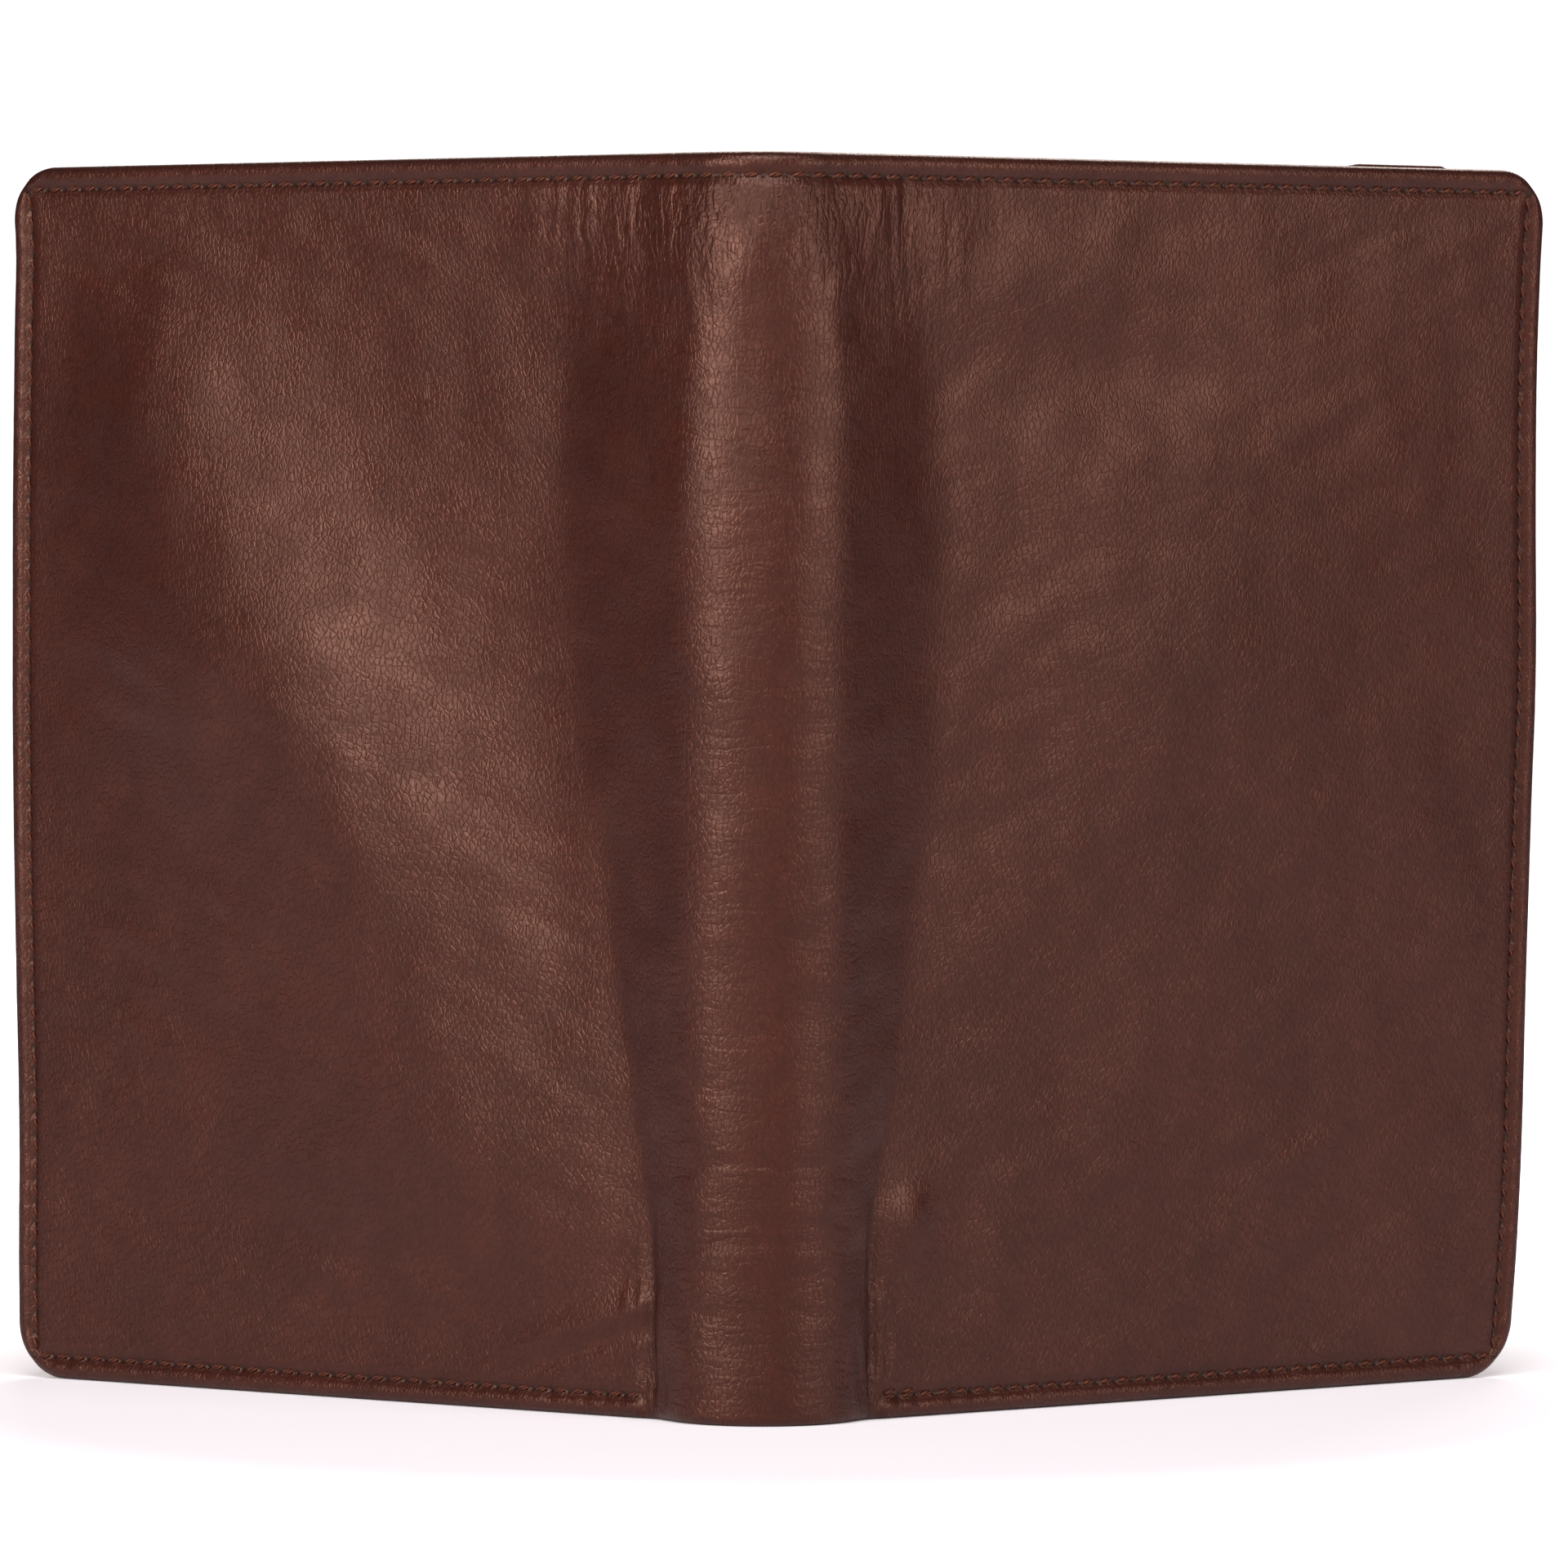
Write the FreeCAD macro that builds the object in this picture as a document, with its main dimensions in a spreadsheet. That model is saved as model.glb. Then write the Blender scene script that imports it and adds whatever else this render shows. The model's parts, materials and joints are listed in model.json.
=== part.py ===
import FreeCAD, Part
import math
import os

import Sketcher
from FreeCAD import Rotation, Vector

# A leather passport wallet that stands open like a book on its bottom edge.
# +Z is up, +X runs along the spread from the back cover to the front cover, and +Y points inwards, to
# the side where the pockets are. The origin is the middle of the footprint, at the height of the bottom edge.
# The outer leather of the real wallet is one hide. It is cut at the two folds here, because the spine and the
# two covers move against each other.

DIMENSIONS = (
    # alias, value in mm or degrees, what it measures
    ("wallet_height", 142, "bottom edge to top edge"),
    ("cover_width", 95, "fold line to free edge"),
    ("spine_width", 23, "fold line to fold line"),
    ("spine_bulge", 7.5, "fold plane to the outermost line of the spine"),
    ("back_swing", 35, "degrees the back cover is swung in from flat"),
    ("front_swing", 35, "degrees the front cover is swung in from flat"),
    ("shell_leather", 1.2, "full-grain hide of the shell"),
    ("hem_leather", 0.7, "thinned hide turned over at the edges"),
    ("hem_width", 9, "how far the turned edge reaches in"),
    ("hem_start", 4, "fold line to the end of the turned edge"),
    ("corner_radius", 6, "free corners of the covers"),
    ("board_start", 3, "fold line to the stiffening board"),
    ("board_play", 0.1, "board to the turned edge"),
    ("lining_cloth", 0.3, "woven lining, also of the sleeve"),
    ("lining_inset", 1.2, "shell edge to lining edge"),
    ("lining_start", 2, "fold line to the cover's lining"),
    ("panel_inset", 0.8, "shell edge to the edges of the inner panels"),
    ("divider_leather", 0.9, "inner wall of the long note compartment"),
    ("divider_start", 4, "fold line to the divider"),
    ("bridge_width", 15, "strip of divider that crosses the spine"),
    ("sleeve_leather", 0.9, "passport sleeve"),
    ("sleeve_start", 15, "fold line to the mouth of the passport sleeve"),
    ("thumb_radius", 17, "thumb notch in the mouth of the sleeve"),
    ("thumb_depth", 9, "depth of the thumb notch"),
    ("sleeve_lining_start", 27, "fold line to the sleeve's own lining"),
    ("sleeve_hem", 6, "turned edge around the sleeve's lining"),
    ("card_panel_leather", 0.8, "panel that carries the card pockets"),
    ("card_panel_start", 5.5, "fold line to the card panel"),
    ("pocket_leather", 0.7, "each card pocket"),
    ("pocket_lift", 1.64, "how far a pocket's mouth stands out past its foot"),
    ("pocket_length", 23, "mouth to foot of the three upper pockets"),
    ("pocket_pitch", 14, "mouth to mouth"),
    ("top_mouth_height", 98, "bottom edge to the mouth of the top pocket"),
    ("pocket_cloth", 0.15, "lining that hangs behind each upper pocket"),
    ("pocket_cloth_start", 20, "pocket mouth to the top of its lining"),
    ("pocket_cloth_end", 50, "pocket mouth to the bottom of its lining"),
    ("seam_margin", 2.6, "edge to the middle of the seam"),
    ("pocket_seam_start", 7.6, "fold line to the seam that closes the card pockets"),
    ("thread_width", 0.5, "thread"),
    ("thread_depth", 0.3, "how deep the thread sinks into the leather"),
    ("fold_play", 0.15, "spine to cover at the fold"),
    ("spine_hem_setback", 4, "degrees by which the spine's turned edges stop short of its ends"),
)

POCKETS = 4  # card pockets, stepped down the front cover
CLOSE = 1e-6  # mm within which two places count as one

doc = FreeCAD.newDocument("PassportWallet")
sheet = doc.addObject("Spreadsheet::Sheet", "Sizes")
for row, (alias, value, meaning) in enumerate(DIMENSIONS, start=1):
    sheet.set(f"A{row}", meaning)
    sheet.set(f"B{row}", str(value))
    sheet.setAlias(f"B{row}", alias)
doc.recompute()


def size(alias):
    """The spreadsheet's name for a dimension."""
    return f"Sizes.{alias}"


def value_of(expression):
    """What an expression comes to, in mm or degrees."""
    return float(sheet.evalExpression(str(expression)))


# Depths in a cover, measured inwards from the plane through its fold line, which is the middle of the hide.
HIDE_FACE = f"({size('shell_leather')} / 2)"
BOARD_FACE = f"({HIDE_FACE} + {size('hem_leather')})"
LINING_FACE = f"({BOARD_FACE} + {size('lining_cloth')})"
DIVIDER_FACE = f"({LINING_FACE} + {size('divider_leather')})"
SLEEVE_LINING_FACE = f"({DIVIDER_FACE} + {size('lining_cloth')})"
SLEEVE_FACE = f"({SLEEVE_LINING_FACE} + {size('sleeve_leather')})"
CARD_PANEL_FACE = f"({DIVIDER_FACE} + {size('card_panel_leather')})"
POCKET_FOOT = f"({CARD_PANEL_FACE} + {POCKETS - 1} * {size('pocket_cloth')})"
MOUTH_DEPTH = f"({POCKET_FOOT} + {size('pocket_lift')})"
POCKET_FACE = f"({MOUTH_DEPTH} + {size('pocket_leather')})"

# Places along a cover and up it.
EDGE = size("cover_width")
TOP = size("wallet_height")
PANEL_EDGE = f"({EDGE} - {size('panel_inset')})"
PANEL_RADIUS = f"({size('corner_radius')} - {size('panel_inset')})"
HALF_THREAD = f"({size('thread_width')} / 2)"
SEAM_EDGE = f"({EDGE} - {size('seam_margin')})"
SEAM_TOP = f"({TOP} - {size('seam_margin')})"

# The middle of the footprint, measured from the middle of the spine on the plane of the fold lines.
HALF_SPINE = f"({size('spine_width')} / 2)"
HALF_HIDE = f"({size('shell_leather')} / 2)"
FRONT_REACH = f"({EDGE} * cos({size('front_swing')}) + {HALF_HIDE} * sin({size('front_swing')}))"
BACK_REACH = f"({EDGE} * cos({size('back_swing')}) + {HALF_HIDE} * sin({size('back_swing')}))"
FOOTPRINT_DEPTH = (
    f"({PANEL_EDGE} * sin({size('front_swing')}) + {POCKET_FACE} * cos({size('front_swing')}))"
)
MIDDLE_X = f"(({FRONT_REACH} - {BACK_REACH}) / 2)"
MIDDLE_Y = f"(({FOOTPRINT_DEPTH} - {size('spine_bulge')}) / 2)"


class Cover:
    """Where one cover stands. Its own X runs from the fold to the free edge and its own Z is up.
    inwards is +1 where its own Y points to the pockets and -1 where it points away from them."""

    def __init__(self, name, fold_x, turn, inwards):
        self.name = name
        self.fold_x = fold_x
        self.turn = turn
        self.inwards = inwards


FRONT = Cover("front", HALF_SPINE, size("front_swing"), 1)
BACK = Cover("back", f"-{HALF_SPINE}", f"180 - {size('back_swing')}", -1)


def stand(thing, at_x, turn):
    """Stands an object on the base at a place along the spread, turned about the vertical."""
    thing.Placement.Rotation = Rotation(Vector(0, 0, 1), value_of(turn))
    thing.setExpression("Placement.Base.x", f"{at_x} - {MIDDLE_X}")
    thing.setExpression("Placement.Base.y", f"-{MIDDLE_Y}")
    thing.setExpression("Placement.Rotation.Angle", turn)


def cover_piece(label, cover):
    """An empty body that stands where its cover stands."""
    body = doc.addObject("PartDesign::Body", label)
    body.Label = label
    stand(body, cover.fold_x, cover.turn)
    return body


def sketch_on(body, role, offset):
    """A sketch on one of the body's origin planes, moved along that plane's normal."""
    plane = next(feature for feature in body.Origin.OriginFeatures if feature.Role == role)
    sketch = body.newObject("Sketcher::SketchObject", "Outline")
    sketch.AttachmentSupport = [(plane, "")]
    sketch.MapMode = "FlatFace"
    sketch.setExpression("AttachmentOffset.Base.z", offset)
    return sketch


def pin(sketch, line, end, across, up):
    """Fixes one end of a line of a sketch at a place given by two expressions."""
    for kind, axis, place in (("DistanceX", -2, across), ("DistanceY", -1, up)):
        if place == "0":
            sketch.addConstraint(Sketcher.Constraint("PointOnObject", line, end, axis))
        else:
            spot = sketch.addConstraint(
                Sketcher.Constraint(kind, -1, 1, line, end, value_of(place))
            )
            sketch.setExpression(f"Constraints[{spot}]", place)


def polygon(sketch, corners):
    """A closed outline with straight sides. corners are pairs of expressions."""
    places = [Vector(value_of(across), value_of(up), 0) for across, up in corners]
    for here, there in zip(places, places[1:] + places[:1]):
        sketch.addGeometry(Part.LineSegment(here, there), False)
    for side in range(len(corners)):
        following = (side + 1) % len(corners)
        sketch.addConstraint(Sketcher.Constraint("Coincident", side, 2, following, 1))
    for side, (across, up) in enumerate(corners):
        pin(sketch, side, 1, across, up)


def rectangle(sketch, left, low, right, high):
    polygon(sketch, ((left, low), (right, low), (right, high), (left, high)))


def panel_outline(sketch, start, inset, radius):
    """A panel's outline: square at the fold, and rounded at both free corners."""
    left, low, rounding = value_of(start), value_of(inset), value_of(radius)
    right, high = value_of(EDGE) - low, value_of(TOP) - low
    quarter = math.pi / 2
    lines = (
        Part.LineSegment(Vector(left, low, 0), Vector(right - rounding, low, 0)),
        Part.LineSegment(Vector(right, low + rounding, 0), Vector(right, high - rounding, 0)),
        Part.LineSegment(Vector(right - rounding, high, 0), Vector(left, high, 0)),
        Part.LineSegment(Vector(left, high, 0), Vector(left, low, 0)),
    )
    low_circle = Part.Circle(Vector(right - rounding, low + rounding, 0), Vector(0, 0, 1), rounding)
    high_circle = Part.Circle(Vector(right - rounding, high - rounding, 0), Vector(0, 0, 1), rounding)
    bottom, free, top, fold = (sketch.addGeometry(line, False) for line in lines)
    low_arc = sketch.addGeometry(Part.ArcOfCircle(low_circle, -quarter, 0), False)
    high_arc = sketch.addGeometry(Part.ArcOfCircle(high_circle, 0, quarter), False)
    for arc, first, second in ((low_arc, bottom, free), (high_arc, free, top)):
        sketch.addConstraint(Sketcher.Constraint("Tangent", first, 2, arc, 1))
        sketch.addConstraint(Sketcher.Constraint("Tangent", arc, 2, second, 1))
        spot = sketch.addConstraint(Sketcher.Constraint("Radius", arc, rounding))
        sketch.setExpression(f"Constraints[{spot}]", radius)
    for first, second in ((top, fold), (fold, bottom)):
        sketch.addConstraint(Sketcher.Constraint("Coincident", first, 2, second, 1))
    sketch.addConstraint(Sketcher.Constraint("Horizontal", bottom))
    sketch.addConstraint(Sketcher.Constraint("Horizontal", top))
    sketch.addConstraint(Sketcher.Constraint("Vertical", free))
    pin(sketch, bottom, 1, start, inset)
    pin(sketch, top, 2, start, f"{TOP} - {inset}" if inset != "0" else TOP)
    spot = sketch.addConstraint(Sketcher.Constraint("DistanceX", -1, 1, free, 1, right))
    sketch.setExpression(f"Constraints[{spot}]", f"{EDGE} - {inset}")


def cover_sketch(body, cover, depth):
    """A sketch in a cover's own plane, at a depth inside the cover."""
    return sketch_on(body, "XZ_Plane", f"{-cover.inwards} * {depth}")


def pad(body, cover, sketch, thickness):
    """Adds leather, board or cloth inwards from the sketch."""
    layer = body.newObject("PartDesign::Pad", "Layer")
    layer.Profile = sketch
    layer.Reversed = cover.inwards > 0
    layer.setExpression("Length", thickness)
    doc.recompute()
    return layer


def pocket(body, cover, sketch, depth, towards_inside=True):
    """Cuts from the sketch inwards, or outwards, and makes sure that something was cut."""
    before = body.Shape.Volume
    cut = body.newObject("PartDesign::Pocket", "Cut")
    cut.Profile = sketch
    cut.Reversed = (cover.inwards > 0) != towards_inside
    cut.setExpression("Length", depth)
    doc.recompute()
    if not body.Shape.Volume < before:
        raise RuntimeError(f"{body.Label}: a cut removed nothing")
    return cut


def plain_panel(label, cover, start, inset, radius, depth, thickness):
    """A flat sheet with two rounded corners, lying at a depth inside its cover."""
    body = cover_piece(label, cover)
    outline = cover_sketch(body, cover, depth)
    panel_outline(outline, start, inset, radius)
    pad(body, cover, outline, thickness)
    return body


# Seams. Each is cut into the leather as a shallow channel that the thread fills level with the leather.


def edge_seam_outline(sketch):
    """The side and bottom seam of a cover, as one L-shaped line as wide as its thread."""
    outer = f"({SEAM_EDGE} + {HALF_THREAD})"
    inner = f"({SEAM_EDGE} - {HALF_THREAD})"
    under = f"({size('seam_margin')} - {HALF_THREAD})"
    over = f"({size('seam_margin')} + {HALF_THREAD})"
    end = f"({SEAM_TOP} - {size('thread_width')})"
    start = size("lining_start")
    polygon(
        sketch,
        ((start, under), (outer, under), (outer, end), (inner, end), (inner, over), (start, over)),
    )


def top_seam_outline(sketch, start):
    """The seam along the top edge, from a place near the fold to the corner of the side seam."""
    rectangle(
        sketch,
        start,
        f"({SEAM_TOP} - {HALF_THREAD})",
        f"({SEAM_EDGE} + {HALF_THREAD})",
        f"({SEAM_TOP} + {HALF_THREAD})",
    )


def seam(label, cover, face, towards_inside, draw):
    """A thread that lies in its channel, face being the depth of the leather's face."""
    body = cover_piece(label, cover)
    depth = face if towards_inside else f"({face} - {size('thread_depth')})"
    outline = cover_sketch(body, cover, depth)
    draw(outline)
    pad(body, cover, outline, size("thread_depth"))
    return body


OUTER_FACE = f"(0 - {HIDE_FACE})"
OUTER_SEAM_START = size("board_start")


def cover_leather(label, cover):
    """The shell of one cover: the hide with its rounded fold, the edge turned in on three sides, and the
    channels of both outer seams."""
    body = plain_panel(
        label, cover, "0", "0", size("corner_radius"), OUTER_FACE, size("shell_leather")
    )
    fold = sketch_on(body, "XY_Plane", "0")
    fold.addGeometry(Part.Circle(Vector(0, 0, 0), Vector(0, 0, 1), value_of(HALF_HIDE)), False)
    fold.addConstraint(Sketcher.Constraint("Coincident", 0, 3, -1, 1))
    spot = fold.addConstraint(Sketcher.Constraint("Radius", 0, value_of(HALF_HIDE)))
    fold.setExpression(f"Constraints[{spot}]", HALF_HIDE)
    round_fold = body.newObject("PartDesign::Pad", "RoundFold")
    round_fold.Profile = fold
    round_fold.setExpression("Length", TOP)
    doc.recompute()
    hem = cover_sketch(body, cover, HIDE_FACE)
    panel_outline(hem, size("hem_start"), "0", size("corner_radius"))
    pad(body, cover, hem, size("hem_leather"))
    opening = cover_sketch(body, cover, HIDE_FACE)
    hem_inner = f"({EDGE} - {size('hem_width')})"
    hem_upper = f"({TOP} - {size('hem_width')})"
    rectangle(opening, size("lining_start"), size("hem_width"), hem_inner, hem_upper)
    pocket(body, cover, opening, size("hem_leather"))
    for draw in (edge_seam_outline, lambda sketch: top_seam_outline(sketch, OUTER_SEAM_START)):
        channel = cover_sketch(body, cover, OUTER_FACE)
        draw(channel)
        pocket(body, cover, channel, size("thread_depth"))
    return body


def cover_board(label, cover):
    """The stiffener that fills the space inside the turned edge."""
    body = cover_piece(label, cover)
    outline = cover_sketch(body, cover, HIDE_FACE)
    inner = f"({size('hem_width')} + {size('board_play')})"
    rectangle(
        outline,
        size("board_start"),
        inner,
        f"({EDGE} - {inner})",
        f"({TOP} - {inner})",
    )
    pad(body, cover, outline, size("hem_leather"))
    return body


def cover_core(cover):
    """What both covers have: shell, board, lining, divider and the two outer seams."""
    lining_radius = f"({size('corner_radius')} - {size('lining_inset')})"
    return [
        cover_leather(f"{cover.name}_cover_leather", cover),
        cover_board(f"{cover.name}_cover_board", cover),
        plain_panel(
            f"{cover.name}_cover_lining",
            cover,
            size("lining_start"),
            size("lining_inset"),
            lining_radius,
            BOARD_FACE,
            size("lining_cloth"),
        ),
        plain_panel(
            f"{cover.name}_divider",
            cover,
            size("divider_start"),
            size("panel_inset"),
            PANEL_RADIUS,
            LINING_FACE,
            size("divider_leather"),
        ),
        seam(f"{cover.name}_edge_seam", cover, OUTER_FACE, True, edge_seam_outline),
        seam(
            f"{cover.name}_top_seam",
            cover,
            OUTER_FACE,
            True,
            lambda sketch: top_seam_outline(sketch, OUTER_SEAM_START),
        ),
    ]


def seamed_panel(label, seam_label, cover, start, depth, thickness, face):
    """An inner panel with a seam along its top edge, on the side where the pockets are."""
    panel = plain_panel(label, cover, start, size("panel_inset"), PANEL_RADIUS, depth, thickness)
    seam_start = f"({start} + {size('seam_margin')})"
    channel = cover_sketch(panel, cover, face)
    top_seam_outline(channel, seam_start)
    pocket(panel, cover, channel, size("thread_depth"), towards_inside=False)
    thread = seam(
        seam_label, cover, face, False, lambda sketch: top_seam_outline(sketch, seam_start)
    )
    return panel, thread


def passport_side():
    """The inside of the back cover: a lined sleeve with its mouth towards the spine."""
    sleeve, sleeve_seam = seamed_panel(
        "passport_sleeve",
        "sleeve_top_seam",
        BACK,
        size("sleeve_start"),
        SLEEVE_LINING_FACE,
        size("sleeve_leather"),
        SLEEVE_FACE,
    )
    notch = cover_sketch(sleeve, BACK, SLEEVE_LINING_FACE)
    centre = f"({size('sleeve_start')} + {size('thumb_depth')} - {size('thumb_radius')})"
    middle = f"({TOP} / 2)"
    notch.addGeometry(
        Part.Circle(
            Vector(value_of(centre), value_of(middle), 0),
            Vector(0, 0, 1),
            value_of(size("thumb_radius")),
        ),
        False,
    )
    radius = notch.addConstraint(
        Sketcher.Constraint("Radius", 0, value_of(size("thumb_radius")))
    )
    notch.setExpression(f"Constraints[{radius}]", size("thumb_radius"))
    pin(notch, 0, 3, centre, middle)
    pocket(sleeve, BACK, notch, size("sleeve_leather"))
    lining = cover_piece("passport_sleeve_lining", BACK)
    outline = cover_sketch(lining, BACK, DIVIDER_FACE)
    inner = f"({size('panel_inset')} + {size('sleeve_hem')})"
    rectangle(
        outline, size("sleeve_lining_start"), inner, f"({EDGE} - {inner})", f"({TOP} - {inner})"
    )
    pad(lining, BACK, outline, size("lining_cloth"))
    return [sleeve, sleeve_seam, lining]


def leaning_strip(body, start, length, foot, foot_depth, mouth, mouth_depth, thickness):
    """Pads a strip along the cover whose section leans outwards from its foot to its mouth."""
    outline = sketch_on(body, "YZ_Plane", start)
    corners = (
        (foot_depth, foot),
        (f"({foot_depth} + {thickness})", foot),
        (f"({mouth_depth} + {thickness})", mouth),
        (mouth_depth, mouth),
    )
    polygon(outline, corners)
    strip = body.newObject("PartDesign::Pad", "Strip")
    strip.Profile = outline
    strip.setExpression("Length", length)
    doc.recompute()


POCKET_RUN = f"({PANEL_EDGE} - {size('card_panel_start')})"

def mouth_height(number):
    """The height of a card pocket's mouth. Pocket 1 is the top one."""
    return f"({size('top_mouth_height')} - {number - 1} * {size('pocket_pitch')})"


def stands_over(point, corner):
    """Whether a point is at the same place along the cover and the same height as a corner."""
    return abs(point.x - corner.x) < CLOSE and abs(point.z - corner.z) < CLOSE


def card_pocket(number):
    """One card pocket. The lowest reaches down to the bottom seam, and its outer corner is rounded."""
    body = cover_piece(f"card_pocket_{number}", FRONT)
    mouth = mouth_height(number)
    lowest = number == POCKETS
    foot = size("panel_inset") if lowest else f"({mouth} - {size('pocket_length')})"
    leaning_strip(
        body,
        size("card_panel_start"),
        POCKET_RUN,
        foot,
        POCKET_FOOT,
        mouth,
        MOUTH_DEPTH,
        size("pocket_leather"),
    )
    if lowest:
        base = body.Tip
        corner = Vector(value_of(PANEL_EDGE), 0, value_of(foot))
        edges = [
            f"Edge{index}"
            for index, edge in enumerate(base.Shape.Edges, start=1)
            if all(stands_over(vertex.Point, corner) for vertex in edge.Vertexes)
        ]
        rounding = body.newObject("PartDesign::Fillet", "RoundCorner")
        rounding.Base = (base, edges)
        rounding.setExpression("Radius", PANEL_RADIUS)
        doc.recompute()
    return body


def pocket_lining(number):
    """The cloth that hangs behind an upper card pocket and closes it at the bottom."""
    label = f"card_pocket_lining_{number}"
    mouth = mouth_height(number)
    body = cover_piece(label, FRONT)
    depth = f"({CARD_PANEL_FACE} + {number - 1} * {size('pocket_cloth')})"
    outline = cover_sketch(body, FRONT, depth)
    rectangle(
        outline,
        size("pocket_seam_start"),
        f"({mouth} - {size('pocket_cloth_end')})",
        SEAM_EDGE,
        f"({mouth} - {size('pocket_cloth_start')})",
    )
    pad(body, FRONT, outline, size("pocket_cloth"))
    return body


def pocket_seam():
    """The seam down the fold side of the card pockets: one leaning run of thread on each pocket's face."""
    body = cover_piece("card_pocket_seam", FRONT)
    start = f"({size('pocket_seam_start')} - {HALF_THREAD})"
    rise = f"({size('pocket_lift')} / {size('pocket_length')})"
    shown = f"({size('pocket_pitch')} - 2 * {size('thread_width')})"
    runs = []
    for number in range(1, POCKETS + 1):
        mouth = mouth_height(number)
        upper = f"({mouth} - {size('thread_width')})"
        lower = f"({upper} - {shown})"
        lean = rise
        if number == POCKETS:
            lower = size("seam_margin")
            lean = f"({size('pocket_lift')} / ({mouth} - {size('panel_inset')}))"
        runs.append(
            (
                lower,
                f"({POCKET_FACE} - ({mouth} - {lower}) * {lean})",
                upper,
                f"({POCKET_FACE} - ({mouth} - {upper}) * {lean})",
            )
        )
    for lower, lower_depth, upper, upper_depth in runs:
        leaning_strip(
            body,
            start,
            size("thread_width"),
            lower,
            lower_depth,
            upper,
            upper_depth,
            size("thread_depth"),
        )
    return body


def card_side():
    """The inside of the front cover: a panel with four stepped card pockets and their linings."""
    panel, panel_seam = seamed_panel(
        "card_panel",
        "card_panel_top_seam",
        FRONT,
        size("card_panel_start"),
        DIVIDER_FACE,
        size("card_panel_leather"),
        CARD_PANEL_FACE,
    )
    pockets = [card_pocket(number) for number in range(1, POCKETS + 1)]
    linings = [pocket_lining(number) for number in range(1, POCKETS)]
    return [panel, panel_seam, *pockets, *linings, pocket_seam()]


# The spine. Its hide is a band bent round a vertical axis, so that its middle stands out by the bulge.

MID_BULGE = f"({size('spine_bulge')} - {HALF_HIDE})"
SPINE_RADIUS = f"(({HALF_SPINE} ^ 2 + {MID_BULGE} ^ 2) / (2 * {MID_BULGE}))"
SPINE_HALF_ANGLE = f"(asin({HALF_SPINE} / {SPINE_RADIUS}) / 1 deg)"


def pillar(radius, low, high, half_angle, at_x, at_y):
    """A vertical cylinder, or a sector of one that opens towards -Y."""
    column = doc.addObject("Part::Cylinder", "Pillar")
    column.setExpression("Radius", radius)
    column.setExpression("Height", f"{high} - {low}")
    column.setExpression("Angle", f"2 * {half_angle}")
    column.Placement.Rotation = Rotation(Vector(0, 0, 1), value_of(f"-90 - {half_angle}"))
    column.setExpression("Placement.Base.x", f"{at_x} - {MIDDLE_X}")
    column.setExpression("Placement.Base.y", f"{at_y} - {MIDDLE_Y}")
    column.setExpression("Placement.Base.z", low)
    column.setExpression("Placement.Rotation.Angle", f"-90 - {half_angle}")
    return column


def cut(label, base, tool):
    result = doc.addObject("Part::Cut", label)
    result.Label = label
    result.Base = base
    result.Tool = tool
    return result


def band(label, outer, thickness, low, high, half_angle):
    """A piece of the bent spine: outer is the radius of its outer face."""
    centre_y = f"({SPINE_RADIUS} - {MID_BULGE})"
    solid = pillar(outer, low, high, half_angle, "0", centre_y)
    hollow = pillar(f"({outer} - {thickness})", low, high, half_angle, "0", centre_y)
    return cut(label, solid, hollow)


def spine():
    """The spine's hide with its turned edges, its lining, its top seam, and the divider's bridge."""
    outer = f"({SPINE_RADIUS} + {HALF_HIDE})"
    inner = f"({SPINE_RADIUS} - {HALF_HIDE})"
    setback = f"({SPINE_HALF_ANGLE} - {size('spine_hem_setback')})"
    hide = band("SpineHide", outer, size("shell_leather"), "0", TOP, SPINE_HALF_ANGLE)
    hem_high = band(
        "HemTop",
        inner,
        size("hem_leather"),
        f"({TOP} - {size('hem_width')})",
        TOP,
        setback,
    )
    hem_low = band("HemBottom", inner, size("hem_leather"), "0", size("hem_width"), setback)
    hemmed = doc.addObject("Part::MultiFuse", "HemmedHide")
    hemmed.Shapes = [hide, hem_high, hem_low]
    relief_radius = f"({HALF_HIDE} + {size('fold_play')})"
    reliefs = doc.addObject("Part::MultiFuse", "Reliefs")
    reliefs.Shapes = [
        pillar(relief_radius, "0", TOP, "180", f"({sign} * {HALF_SPINE})", "0")
        for sign in (-1, 1)
    ]
    seam_low = f"({SEAM_TOP} - {HALF_THREAD})"
    seam_high = f"({SEAM_TOP} + {HALF_THREAD})"
    channel = band("SeamChannel", outer, size("thread_depth"), seam_low, seam_high, setback)
    tools = doc.addObject("Part::MultiFuse", "SpineCuts")
    tools.Shapes = [reliefs, channel]
    leather = cut("spine_leather", hemmed, tools)
    thread = band("spine_top_seam", outer, size("thread_depth"), seam_low, seam_high, setback)
    lining_low = f"({size('hem_width')} + {size('board_play')})"
    lining = band(
        "spine_lining",
        inner,
        size("lining_cloth"),
        lining_low,
        f"({TOP} - {lining_low})",
        setback,
    )
    bridge = doc.addObject("Part::Box", "spine_divider")
    bridge.Label = "spine_divider"
    bridge.setExpression("Length", size("bridge_width"))
    bridge.setExpression("Width", size("divider_leather"))
    bridge.setExpression("Height", f"{TOP} - 2 * {size('panel_inset')}")
    bridge.setExpression("Placement.Base.x", f"-{size('bridge_width')} / 2 - {MIDDLE_X}")
    bridge.setExpression("Placement.Base.y", f"{LINING_FACE} - {MIDDLE_Y}")
    bridge.setExpression("Placement.Base.z", size("panel_inset"))
    return [leather, lining, bridge, thread]


pieces = [*spine(), *cover_core(BACK), *passport_side(), *cover_core(FRONT), *card_side()]
doc.recompute()

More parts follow.
